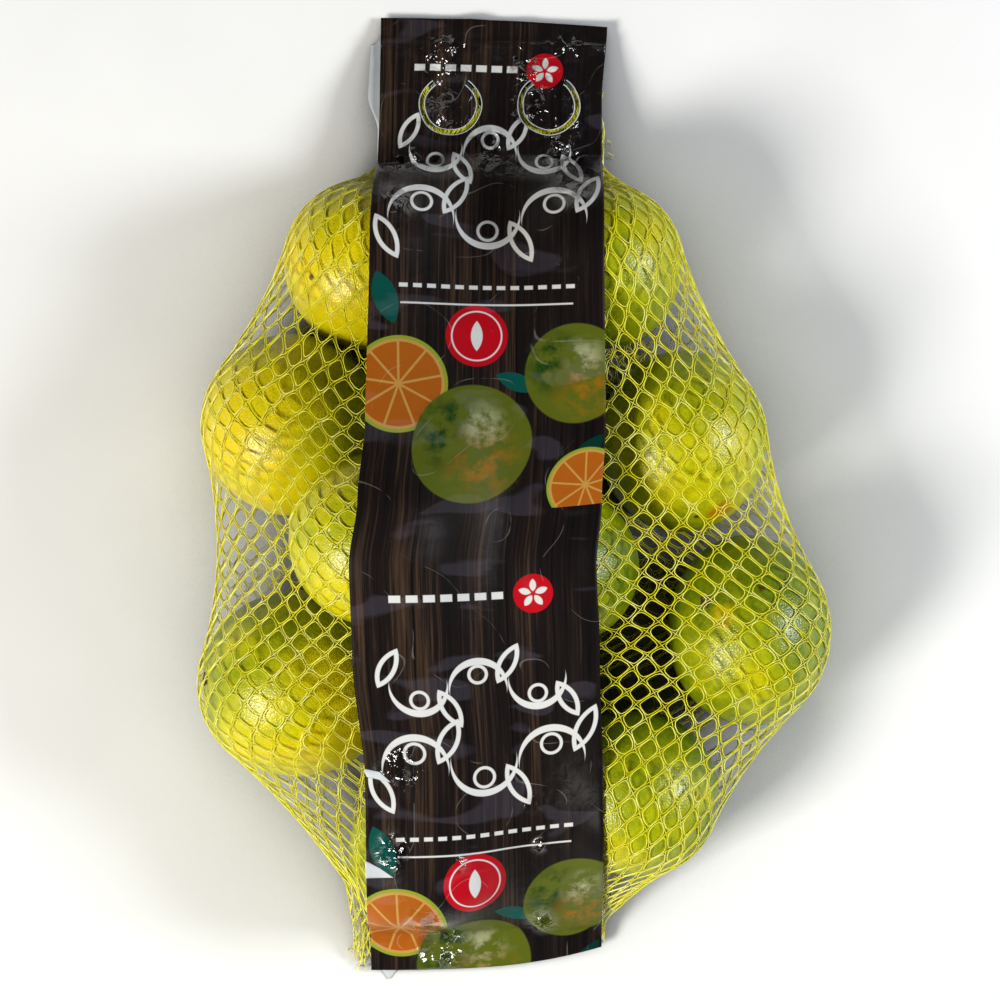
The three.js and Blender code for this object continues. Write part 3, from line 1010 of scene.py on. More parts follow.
@dataclass
class NetTube:
    """The surface in which the net lies: a tube that is drawn tight over the fruit.

    It starts from the rings of the filled net's solid, which sink between the oranges.

    Attributes:
        finer: how many columns and rings replace one of the solid's.
        passes: of tightening, before and after it is made finer.
        pull: how much harder it pulls along the bag than round it, with rings 1 mm apart.
        skin: how far the yarn's middle lies off the fruit.
        lowest: the height of the yarn's middle on the floor.
        near: how near a ring is to a shoulder that counts as in it.
        pressed: how thick its flat ends are, as a share of the solid's.
        reach: how much further it reaches into the header than the solid.
        header_shift: how far its header's end lies to the right of the solid's.
        bunched: how far into the header it narrows, about which x, and to what share.
        hem: the x of its right edge in the foot.
        spread: how much wider it is in the foot than the solid.
        kept_out: how far above the foot's end its left edge is kept out, and the x of that edge
            at the foot's end and there.
        foot_left: the x of the front band's lower left corner.
        inside_foot: how far the net stops short of the front band's foot.
        cells: round the tube.
        leg: from one knot to the next, in millimetres.
        widest: half a cell's width at most, as a share of its leg.
        twist: how far the cells drift to the right in each row, in half cells.
        evened: over how many columns to each side the rows are evened out.
        band_x: the middle of the bands, across.
        shares: of the cells, counted round the tube from the right side, at the band's middle
            above, the left side, the band's middle below, and the right side again.
        ys: of the rings, from the header down.
        rings: their points' x and z, from the right side over the top and back below.
    """

    finer: int = 4
    passes: tuple[int, int] = (900, 40)
    pull: float = 32.0
    skin: float = 0.35
    lowest: float = 0.8
    near: float = 0.5
    pressed: float = 0.4
    reach: float = 6.0
    header_shift: float = 1.2
    bunched: Triple = (19.0, -3.0, 0.9)
    hem: float = 43.0
    spread: float = 1.03
    kept_out: Triple = (28.0, -60.0, -63.5)
    foot_left: float = -53.0
    inside_foot: float = 2.0
    cells: int = 52
    leg: float = 7.35
    widest: float = 0.93
    twist: float = 0.04
    evened: int = 6
    band_x: float = -5.0
    shares: tuple = (0.0, 0.25, 0.5, 0.75, 1.0)
    ys: np.ndarray = field(init=False)
    rings: np.ndarray = field(init=False)

    def __post_init__(self) -> None:
        """Reads, tightens and refines the rings, and numbers the rows of knots."""
        self.ys, self.rings = self.solid_rings()
        self.settle_ends()
        self.space_evenly(np.arange(len(self.ys)))
        self.tighten(self.passes[0], self.pull)
        self.refine()
        self.tighten(self.passes[1], self.pull / self.finer)
        self.widen_foot()
        self.points = np.concatenate([
            self.rings[:, :, :1], np.repeat(self.ys[:, None, None], self.rings.shape[1], 1),
            self.rings[:, :, 1:]], axis=2)
        self.normals = self.outward()
        self.rows, self.row_places = self.knot_rows()

    def solid_rings(self) -> tuple[np.ndarray, np.ndarray]:
        """Sorts the solid's corners into rings.

        Returns:
            The rings' y from header to foot, and for each its [x, z] points in order, from its
            right edge over the top to its left edge and back below.
        """
        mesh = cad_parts["filled_net"].data
        points = np.empty(len(mesh.vertices) * 3)
        mesh.vertices.foreach_get("co", points)
        points = points.reshape(-1, 3) / MM + BOX_MIDDLE
        points = np.unique(np.round(points, 2), axis=0)
        ys = np.unique(np.round(points[:, 1], 1))[::-1]
        rings = []
        for y in ys:
            ring = points[np.abs(points[:, 1] - y) < 0.1][:, [0, 2]]
            if len(ring) % 2:  # the two end rings also have the corner in their middle
                away = np.linalg.norm(ring - ring.mean(axis=0), axis=1)
                ring = np.delete(ring, np.argmin(away), axis=0)
            ring = ring[np.argsort(ring[:, 0])]
            left, right = ring[0], ring[-1]
            rest = ring[1:-1]
            share = (rest[:, 0] - left[0]) / (right[0] - left[0])
            above = rest[:, 1] > left[1] + (right[1] - left[1]) * share
            rings.append(np.concatenate([[right], rest[above][::-1], [left], rest[~above]]))
        return ys, np.array(rings)

    def settle_ends(self) -> None:
        """Lengthens the header's flat end, and presses both flat ends thin between the bands."""
        flat = (self.ys > HEADER.shoulder - self.near) | (self.ys < FOOT.shoulder + self.near)
        was = end_height(self.ys)[:, None]
        self.ys[0] += self.reach
        now = end_height(self.ys)[:, None]
        self.rings[flat, :, 1] = (now + self.pressed * (self.rings[:, :, 1] - was))[flat]
        self.rings[self.ys > HEADER.shoulder, :, 0] += self.header_shift
        for part, middle, factor in (
                (self.ys > HEADER.shoulder + self.bunched[0], self.bunched[1], self.bunched[2]),
                (self.ys < FOOT.shoulder - self.near, self.hem, self.spread)):
            self.rings[part, :, 0] = middle + factor * (self.rings[part, :, 0] - middle)

    def widen_foot(self) -> None:
        """Keeps the net's left edge out beside the bands, where it runs into the flat foot."""
        end = FOOT.shoulder + self.kept_out[0]
        for y, ring in zip(self.ys, self.rings):
            left = ring[:, 0].min()
            edge = min(left, np.interp(y, (FOOT.shoulder, end), self.kept_out[1:]))
            if y <= end:
                factor = (edge - self.hem) / (left - self.hem)
                ring[:, 0] = self.hem + factor * (ring[:, 0] - self.hem)

    @staticmethod
    def curved(values: np.ndarray, finer: int, closed: bool) -> np.ndarray:
        """Puts points between those of the first axis, on a smooth curve.

        Args:
            values: the points.
            finer: how many replace one.
            closed: whether the last is followed by the first.

        Returns:
            The finer points.
        """
        ends = (values[-1:], values[:2]) if closed else (values[:1], values[-1:])
        padded = np.concatenate([ends[0], values, ends[1]])
        spans = len(values) if closed else len(values) - 1
        shape = (spans, 1) + (1,) * (values.ndim - 1)
        a, b, c, d = (padded[k:k + spans][:, None] for k in range(4))
        t = np.broadcast_to((np.arange(finer) / finer)[None, :, *([None] * (values.ndim - 1))],
                            (1, finer) + shape[2:])
        between = 0.5 * ((2 * b) + (c - a) * t + (2 * a - 5 * b + 4 * c - d) * t ** 2
                         + (3 * b - a - 3 * c + d) * t ** 3)
        between = between.reshape(spans * finer, *values.shape[1:])
        return between if closed else np.concatenate([between, values[-1:]])

    def refine(self) -> None:
        """Makes the rings and their points finer."""
        self.rings = self.curved(self.rings, self.finer, closed=False)
        self.ys = self.curved(self.ys, self.finer, closed=False)
        around = self.curved(self.rings.transpose(1, 0, 2), self.finer, closed=True)
        self.rings = around.transpose(1, 0, 2).copy()

    def tighten(self, passes: int, pull: float) -> None:
        """Shrinks the tube between its flat ends, and keeps it off the fruit and the floor.

        Args:
            passes: how often each point moves between its neighbours.
            pull: along the bag against round it, with rings 1 mm apart.
        """
        body = (self.ys < HEADER.shoulder - self.near) & (self.ys > FOOT.shoulder + self.near)
        evened_every = 25
        weight = pull / -np.diff(self.ys)[:, None, None]
        above, below = weight[:-1], weight[1:]
        for step in range(passes):
            around = np.roll(self.rings, 1, axis=1) + np.roll(self.rings, -1, axis=1)
            drawn = self.rings.copy()
            drawn[1:-1] = ((around[1:-1] + above * self.rings[:-2] + below * self.rings[2:])
                           / (2 + above + below))
            self.rings[body] = drawn[body]
            for orange in ORANGES:
                self.push_out(orange)
            self.rings[body, :, 1] = np.maximum(self.rings[body, :, 1], self.lowest)
            if step % evened_every == evened_every - 1:
                self.space_evenly(np.flatnonzero(body))

    def push_out(self, orange: Orange) -> None:
        """Moves the points of every ring that cuts an orange out of it.

        Args:
            orange: the orange.
        """
        half = np.array(orange.half) + self.skin
        along = (self.ys - orange.at[1]) / half[1]
        near = np.flatnonzero(np.abs(along) < 1)
        section = np.sqrt(1 - along[near] ** 2)[:, None, None]
        middle = np.array([orange.at[0], orange.at[2]])
        off = self.rings[near] - middle
        reach = np.linalg.norm(off / (half[[0, 2]] * section), axis=2, keepdims=True)
        self.rings[near] = middle + off / np.clip(reach, 1e-6, 1)

    def space_evenly(self, body: np.ndarray) -> None:
        """Spaces the points of rings evenly between four posts: its two sides, and the middle of
        the bands above and below.

        Args:
            body: the numbers of the rings.
        """
        share = np.arange(self.rings.shape[1]) / self.rings.shape[1]
        for j in body:
            ring = self.rings[j]
            loop = np.concatenate([ring, ring[:1]])
            length = np.concatenate([[0], np.cumsum(np.linalg.norm(np.diff(loop, axis=0), axis=1))])
            x, z = loop.T
            high = ring[:, 1].mean()
            posts = [self.crossing(*way, length) for way in (
                (z - high, x), (self.band_x - x, z), (high - z, -x), (x - self.band_x, -z))]
            far = [(post - posts[0]) % length[-1] for post in posts] + [length[-1]]
            places = (posts[0] + np.interp(share, self.shares, far)) % length[-1]
            self.rings[j] = np.stack([np.interp(places, length, loop[:, n]) for n in (0, 1)], 1)

    @staticmethod
    def crossing(rising: np.ndarray, outermost: np.ndarray, length: np.ndarray) -> float:
        """Where along a ring a value rises through 0.

        Args:
            rising: the value at each point.
            outermost: which crossing is taken: the one where this is greatest.
            length: how far along the ring each point is.

        Returns:
            The place along the ring.
        """
        found = np.flatnonzero((rising[:-1] < 0) & (rising[1:] >= 0))
        k = found[np.argmax(outermost[found])]
        part = -rising[k] / (rising[k + 1] - rising[k])
        return length[k] + part * (length[k + 1] - length[k])

    def outward(self) -> np.ndarray:
        """Works out the unit normal at every point, away from the fruit.

        Returns:
            The normals, by ring and column.
        """
        around = np.roll(self.points, -1, axis=1) - np.roll(self.points, 1, axis=1)
        along = np.gradient(self.points, axis=0)
        normal = np.cross(around, along)
        normal /= np.linalg.norm(normal, axis=2, keepdims=True) + 1e-9
        middle = self.points.mean(axis=1, keepdims=True)
        sign = np.sign(np.sum(normal * (self.points - middle)))
        return normal * sign

    def knot_rows(self) -> tuple[int, np.ndarray]:
        """Spreads the rows of knots: a leg keeps its length, so narrow cells are long.

        Returns:
            The number of rows, and for every quarter of a row and every column its place among
            the rings.
        """
        loop = np.linalg.norm(np.roll(self.points, -1, axis=1) - self.points, axis=2).sum(axis=1)
        half_width = np.minimum(loop / self.cells / 2, self.widest * self.leg)
        half_height = np.sqrt(self.leg ** 2 - half_width ** 2)
        around = np.roll(self.points, -1, axis=1) - np.roll(self.points, 1, axis=1)
        around = (around / np.linalg.norm(around, axis=2, keepdims=True))[:-1]
        step = np.diff(self.points, axis=0)
        drift = np.sum(step * around, axis=2, keepdims=True)
        step = np.linalg.norm(step - drift * around, axis=2)
        between = (half_height[1:] + half_height[:-1])[:, None] / 2
        passed = np.concatenate([0 * step[:1], np.cumsum(step / between, axis=0)])
        rows = round(passed[-1].mean())
        passed *= rows / passed[-1]
        spread = range(-self.evened, self.evened + 1)
        passed = sum(np.roll(passed, k, axis=1) for k in spread) / len(spread)
        quarters = np.arange(4 * rows + 1) / 4
        rings = np.arange(len(self.ys))
        return rows, np.stack([np.interp(quarters, column, rings) for column in passed.T], axis=1)

    def place(self, column: np.ndarray, row: np.ndarray, lift: float) -> np.ndarray:
        """Points of the net, from their place in the pattern of knots.

        Args:
            column: half cells round the tube.
            row: half cells down from the header's end.
            lift: how far above the surface.

        Returns:
            The points in layout millimetres.
        """
        across = ((column - self.twist * row) / (2 * self.cells) % 1) * self.points.shape[1]
        down = read_grid(self.row_places, 4 * row, across, closed=True)
        points = read_grid(self.points + lift * self.normals, down, across, closed=True)
        share = np.clip((points[:, 0] - self.foot_left) / FilmBand.foot_width, 0, 1)
        lowest = FOOT.tip + self.inside_foot + FilmBand.foot_rise * share ** 3
        points[:, 1] = np.maximum(points[:, 1], lowest)
        return points


@dataclass
class KnittedNet:
    """The net's yarn: a rounded loop for each cell, and slanted yarns that cross in the knots.

    Attributes:
        tube: the surface in which it lies.
        radius: of a loop's yarn, in millimetres.
        thin: the radius of a slanted yarn.
        lifts: how far off the tube a loop lies, and a falling yarn outside and a rising one
            inside it.
        bunch: where the bunched end starts and ends across the header, and its yarns' spacing.
        weave: how far a slanted yarn swings to either side between two knots, in half cells.
        loop_sides: the straight pieces of a loop.
        reach: how much of its cell a loop fills, across and down.
        squareness: of a loop, between a diamond at 1 and an ellipse at 2.
        unevenness: how far knots stray, in half cells.
        seed: of the strays and the loose ends.
    """

    tube: NetTube
    radius: float = 0.19
    thin: float = 0.17
    lifts: Pair = (0.12, 0.22)
    bunch: Triple = (-47.0, 40.0, 0.5)
    weave: float = 0.08
    loop_sides: int = 12
    reach: Pair = (0.75, 0.75)
    squareness: float = 1.36
    unevenness: float = 0.08
    seed: int = 7

    # Where loose ends hang from the net: x, y, the way they hang in degrees, and how far.
    loose_ends = ((41, -154, -68, 16), (42, -157, -60, 11), (43, -160, -82, 15), (44, -162, -62, 7),
                  (43, -165, -92, 9), (-59, -178, -88, 12), (-58, -181, -84, 13),
                  (-57, -184, -98, 9), (-55, -187, -90, 8), (-56, -188, -110, 8),
                  (43, 146, 10, 4), (43, 141, -20, 5))

    def build(self) -> None:
        """Makes the net in pieces, each of one sort of yarn."""
        yarn = YARN.material()
        rows = self.tube.rows
        chance = np.random.default_rng(self.seed)
        self.stray = chance.normal(0, self.unevenness, (2, rows + 3, 2 * self.tube.cells))
        quarter = self.tube.cells // 2
        pieces = {}
        for number, name in enumerate(("right", "front", "left", "back")):
            pieces[f"loops_{name}"] = self.radius, [
                self.loop(column, row) for column in range(number * quarter, (number + 1) * quarter)
                for row in range(1, rows) if (column + row) % 2]
        for name, turn in (("rising", -1), ("falling", 1)):
            pieces[f"crossings_{name}"] = self.thin, [
                self.slant(column, turn, rows) for column in range(0, 2 * self.tube.cells, 2)]
        pieces["gathered"] = self.radius, [self.gathered(x, chance)
                                           for x in np.arange(*self.bunch)]
        pieces["loose_ends"] = self.radius, [self.loose_end(*end, chance)
                                             for end in self.loose_ends]
        for name, (radius, paths) in pieces.items():
            keep(strands(f"net_{name}", paths, name.startswith("loops"), radius, yarn), Slot.YARN,
                 "filled_net")

    def gathered(self, x: float, chance: np.random.Generator) -> np.ndarray:
        """One yarn of the net's bunched end, which lies flat between the bands in the header.

        Args:
            x: where it lies, across.
            chance: for its waves.

        Returns:
            Its points.
        """
        start, end, uneven, count = HEADER.shoulder + 3, HEADER.shoulder + 31, 2.5, 14
        wave, pitch, slant, still = 1.5, 0.55, 0.05, 150  # they slant from where y is still
        y = np.linspace(start, end + chance.normal(0, uneven), count)
        sway = wave * np.sin(pitch * y + chance.uniform(0, 6))
        sway += slant * chance.normal() * (y - still)
        return np.column_stack([x + sway, y, end_height(y) + chance.uniform(0.4, 0.65)])

    def loose_end(self, x: float, y: float, way: float, length: float,
                  chance: np.random.Generator) -> np.ndarray:
        """One loose yarn that curls away from the net's edge and down to the floor.

        Args:
            x: where it starts, across.
            y: where it starts, along.
            way: the way it hangs, in degrees from x.
            length: how far it reaches.
            chance: for its curls.

        Returns:
            Its points.
        """
        step = 0.7
        count = int(length / step)
        turns = 0.35 * np.cumsum(chance.normal(0, 0.35, count)) + chance.uniform(-0.2, 0.2, count)
        curl = chance.choice([-1, 1]) * 5.0 * smoothstep(0.6, 1.0, np.linspace(0, 1, count))
        angle = math.radians(way) + turns + curl
        high = float(end_height(y)) * (1 - np.linspace(0, 1, count)) + self.tube.lowest
        places = np.cumsum(np.stack([np.cos(angle), np.sin(angle)], axis=1) * step, axis=0)
        return np.column_stack([places + (x, y), high])

    def strayed(self, column: np.ndarray, row: np.ndarray) -> tuple[np.ndarray, np.ndarray]:
        """Moves places in the pattern by the strays of the knots round them."""
        across, down = (read_grid(field_, row, column, closed=True) for field_ in self.stray)
        return column + across, np.clip(row + down, 0, self.tube.rows)

    def loop(self, column: int, row: int) -> np.ndarray:
        """The rounded loop of one cell.

        Args:
            column: of its middle.
            row: of its middle.

        Returns:
            Its points.
        """
        angle = 2 * math.pi * np.arange(self.loop_sides) / self.loop_sides
        power = 2 / self.squareness
        across = np.sign(np.cos(angle)) * np.abs(np.cos(angle)) ** power
        down = np.sign(np.sin(angle)) * np.abs(np.sin(angle)) ** power
        places = self.strayed(column + self.reach[0] * across, row + self.reach[1] * down)
        return self.tube.place(*places, self.lifts[0])

    def slant(self, column: int, turn: int, rows: int) -> np.ndarray:
        """One slanted yarn, from the header's end to the foot's.

        Args:
            column: where it starts.
            turn: 1 where it falls to higher columns, and -1 where it falls to lower ones.
            rows: how many half cells it passes.

        Returns:
            Its points.
        """
        row = np.linspace(0, rows, 4 * rows + 1)
        swing = self.weave * np.sin(math.pi * row)
        return self.tube.place(*self.strayed(column + turn * row + swing, row),
                               self.lifts[1] * turn)


# ---- The film bands ----


@dataclass
class FilmBand:
    """A thin printed band along the bag. The front and back bands differ in line and drape.

    Attributes:
        tube: the net that it lies on.
        outside: the material of its printed side.
        inside: the material of its pale side.
        thickness: of the film, drawn thicker than it is so that its edge shows.
        columns: of its grid.
        rows: of its grid.
        passes: in which it is drawn tight.
        tension: how much of the pull runs along the band.
        off_net: the least distance from the net's surface.
        off_ends: the distance from the middle of the bag's flat ends.
        slit_width: of its hang slits.
    """

    tube: NetTube
    outside: Material
    inside: Material
    thickness: float = 0.14
    columns: int = 92
    rows: int = 380
    passes: int = 260
    tension: float = 0.8
    off_net: float = 0.8
    off_ends: float = 0.85
    slit_width: float = 2.0

    # The front band's middle line: y, x and the width there.
    line = ((198, -2.4, 93), (160, -3.8, 90.5), (100, -5.0, 91.5), (30, -5.2, 92.5), (0, -7.2, 93),
            (-25, -9.8, 94), (-60, -8.8, 95), (-110, -6.0, 92.5), (-194, -5.6, 94.5))
    slit_radius = 12.6
    slit_spacing = 40.0
    slit_at = (-0.2, 160.8)
    slit_opening = 70.0
    header_fall = 4.0  # how far the upper end falls towards the right side
    foot_rise = 10.0  # how far the lower end rises towards the right side
    foot_width = 94.5
    print_width = 93.0
    followed = 0.3  # how much of the film's rise and fall its print follows
    surveyed = (-70.0, 62.0, 1.0)  # where the net's height is read, across: from, to and step

    def grid(self) -> list[np.ndarray]:
        """The share across and down the band at every corner of its grid."""
        return np.meshgrid(*(np.linspace(0, 1, count + 1) for count in (self.columns, self.rows)))

    def slit_middle(self, side: int) -> Pair:
        """The x and y of the middle of the left (side -1) or right (side 1) hang slit."""
        return self.slit_at[0] + side * self.slit_spacing / 2, self.slit_at[1]

    def ends(self, across: np.ndarray) -> tuple[np.ndarray, np.ndarray]:
        """The y of the front band's upper and lower end, from its left side at 0 to 1."""
        return HEADER.tip - self.header_fall * across ** 2, FOOT.tip + self.foot_rise * across ** 3

    def front_line(self, y: np.ndarray) -> tuple[np.ndarray, np.ndarray]:
        """The front band's middle line and width.

        Args:
            y: the places along the bag.

        Returns:
            The x of its middle line, and its width.
        """
        stations = np.array(self.line[::-1], float)
        k = np.clip(np.searchsorted(stations[:, 0], y) - 1, 0, len(stations) - 2)
        low, high = stations[k], stations[k + 1]
        share = smoothstep(0, 1, (y - low[..., 0]) / (high[..., 0] - low[..., 0]))
        return tuple(low[..., n] + (high[..., n] - low[..., n]) * share for n in (1, 2))

    def over_net(self, x: np.ndarray, y: np.ndarray, side: int) -> np.ndarray:
        """The height of the net's upper (side 1) or lower (side -1) surface.

        Args:
            x: the places across, as a grid.
            y: the places along, as a grid.
            side: 1 above the net, or -1 below it.

        Returns:
            The heights.
        """
        reach = np.arange(*self.surveyed)
        tops = np.empty((len(self.tube.ys), len(reach)))
        for j, ring in enumerate(self.tube.rings):
            half = ring[side * (ring[:, 1] - ring[:, 1].mean()) > 0]
            half = half[np.argsort(half[:, 0])]
            tops[j] = np.interp(reach, half[:, 0], half[:, 1])
        down = np.interp(-y, -self.tube.ys, np.arange(len(self.tube.ys)))
        across = np.clip((x - reach[0]) / (reach[1] - reach[0]), 0, len(reach) - 1)
        return read_grid(tops, down, across)

    def sheet(self, name: str, points: list[np.ndarray], crumple: np.ndarray,
              materials: tuple) -> Piece:
        """Makes the band from a grid, with its print coordinates and its crumples.

        Args:
            name: the piece's name.
            points: the x, y and z of each corner.
            crumple: how crumpled the film is at each corner, from 0 to 1.
            materials: of its upper and lower side.

        Returns:
            The finished piece.
        """
        shape = bmesh.new()
        bmesh.ops.create_grid(shape, x_segments=self.columns, y_segments=self.rows, size=0.5)
        print_map = shape.loops.layers.uv.new("print")
        crumpled = shape.verts.layers.float.new("crumple")
        x, y, z = points
        steps = np.hypot(np.diff(y[:, self.columns // 2]), self.followed * np.diff(z.mean(axis=1)))
        along = np.concatenate([[0], np.cumsum(steps)])
        unit = PrintedFilmFinish().unit
        place = {}
        for vert in shape.verts:
            i = round((vert.co.x + 0.5) * self.columns)
            j = round((0.5 - vert.co.y) * self.rows)
            place[vert] = ((i / self.columns - 0.5) * self.print_width / unit, along[j] / unit)
            vert.co = (x[j, i], y[j, i], z[j, i])
            vert[crumpled] = crumple[j, i]
        for face in shape.faces:
            for loop in face.loops:
                loop[print_map].uv = place[loop.vert]
        return self.thickened(from_bmesh(name, shape, materials),
                              [self.slit_cutter(side) for side in (-1, 1)])

    def thickened(self, piece: Piece, cutters: tuple | list = ()) -> Piece:
        """Gives a sheet of film its thickness, downwards, and cuts it.

        Args:
            piece: the open sheet, whose faces look up, with a material for each side or for both.
            cutters: what is cut out of it, each of which is used up.

        Returns:
            The finished piece.
        """
        wall = piece.modifiers.new("film", "SOLIDIFY")
        wall.thickness = self.thickness * MM
        wall.offset = -1
        wall.material_offset = wall.material_offset_rim = len(piece.data.materials) - 1
        for cutter in cutters:
            cut = piece.modifiers.new(cutter.name, "BOOLEAN")
            cut.operation = "DIFFERENCE"
            cut.solver = "EXACT"
            cut.object = cutter
        settled(piece)
        for cutter in cutters:
            bpy.data.objects.remove(cutter)
        piece.data.polygons.foreach_set("use_smooth", [True] * len(piece.data.polygons))
        return piece

    def slit_cutter(self, side: int) -> Piece:
        """Makes the C-shaped prism that one hang slit takes out.

        Args:
            side: -1 for the left slit, and 1 for the right one.

        Returns:
            The cutter.
        """
        width, depth, steps = self.slit_width, 40, 44
        shape = bmesh.new()
        bmesh.ops.create_grid(shape, x_segments=1, y_segments=1, size=0.5)
        bmesh.ops.rotate(shape, verts=shape.verts, cent=(0, 0, 0),
                         matrix=Matrix.Rotation(math.radians(90), 3, "X"))
        bmesh.ops.scale(shape, verts=shape.verts, vec=(width, 1, depth))
        bmesh.ops.translate(shape, verts=shape.verts, vec=(self.slit_radius - width / 2, 0, 0))
        start = math.radians(90 + self.slit_opening / 2)
        bmesh.ops.rotate(shape, verts=shape.verts, cent=(0, 0, 0),
                         matrix=Matrix.Rotation(start, 3, "Z"))
        bmesh.ops.spin(shape, geom=shape.verts[:] + shape.edges[:] + shape.faces[:],
                       cent=(0, 0, 0), axis=(0, 0, 1), steps=steps, use_merge=False,
                       angle=math.radians(360 - self.slit_opening), use_duplicate=False)
        bmesh.ops.recalc_face_normals(shape, faces=shape.faces[:])
        bmesh.ops.translate(shape, verts=shape.verts, vec=(*self.slit_middle(side), 5.0))
        return from_bmesh(f"slit_{'left' if side < 0 else 'right'}", shape, [])

    def draped(self, limit: np.ndarray, start: np.ndarray, free: np.ndarray, side: int,
               weight: float) -> np.ndarray:
        """Draws the sheet tight over (side 1) or under (side -1) its limits.

        Args:
            limit: the heights that it must clear.
            start: the heights that it starts from.
            free: where it may move.
            side: 1 over the net, or -1 under it.
            weight: how far it sinks in each pass.

        Returns:
            The heights.
        """
        clear = np.maximum if side > 0 else np.minimum
        height = clear(start, limit)
        for _ in range(self.passes):
            padded = np.pad(height, 1, mode="edge")
            along = (padded[:-2, 1:-1] + padded[2:, 1:-1]) / 2
            across = (padded[1:-1, :-2] + padded[1:-1, 2:]) / 2
            pulled = self.tension * along + (1 - self.tension) * across
            drawn = np.maximum(clear(pulled - weight, limit), 0.0)
            height = np.where(free, drawn, height)
        return height


def wavelets(x: np.ndarray, y: np.ndarray, size: float, seed: int) -> np.ndarray:
    """A smooth random field that swings between about -1 and 1.

    Args:
        x: the places across, in millimetres.
        y: the places along, in millimetres.
        size: the typical size of a wave, in millimetres.
        seed: of its random waves.

    Returns:
        The field's values.
    """
    chance = np.random.default_rng(seed)
    total = np.zeros(np.broadcast(x, y).shape)
    waves = 14
    for _ in range(waves):
        angle, phase = chance.uniform(0, 2 * math.pi, 2)
        pitch = 2 * math.pi / (size * chance.uniform(0.7, 1.6))
        total += np.sin(pitch * (x * math.cos(angle) + y * math.sin(angle)) + phase)
    return total / math.sqrt(waves)


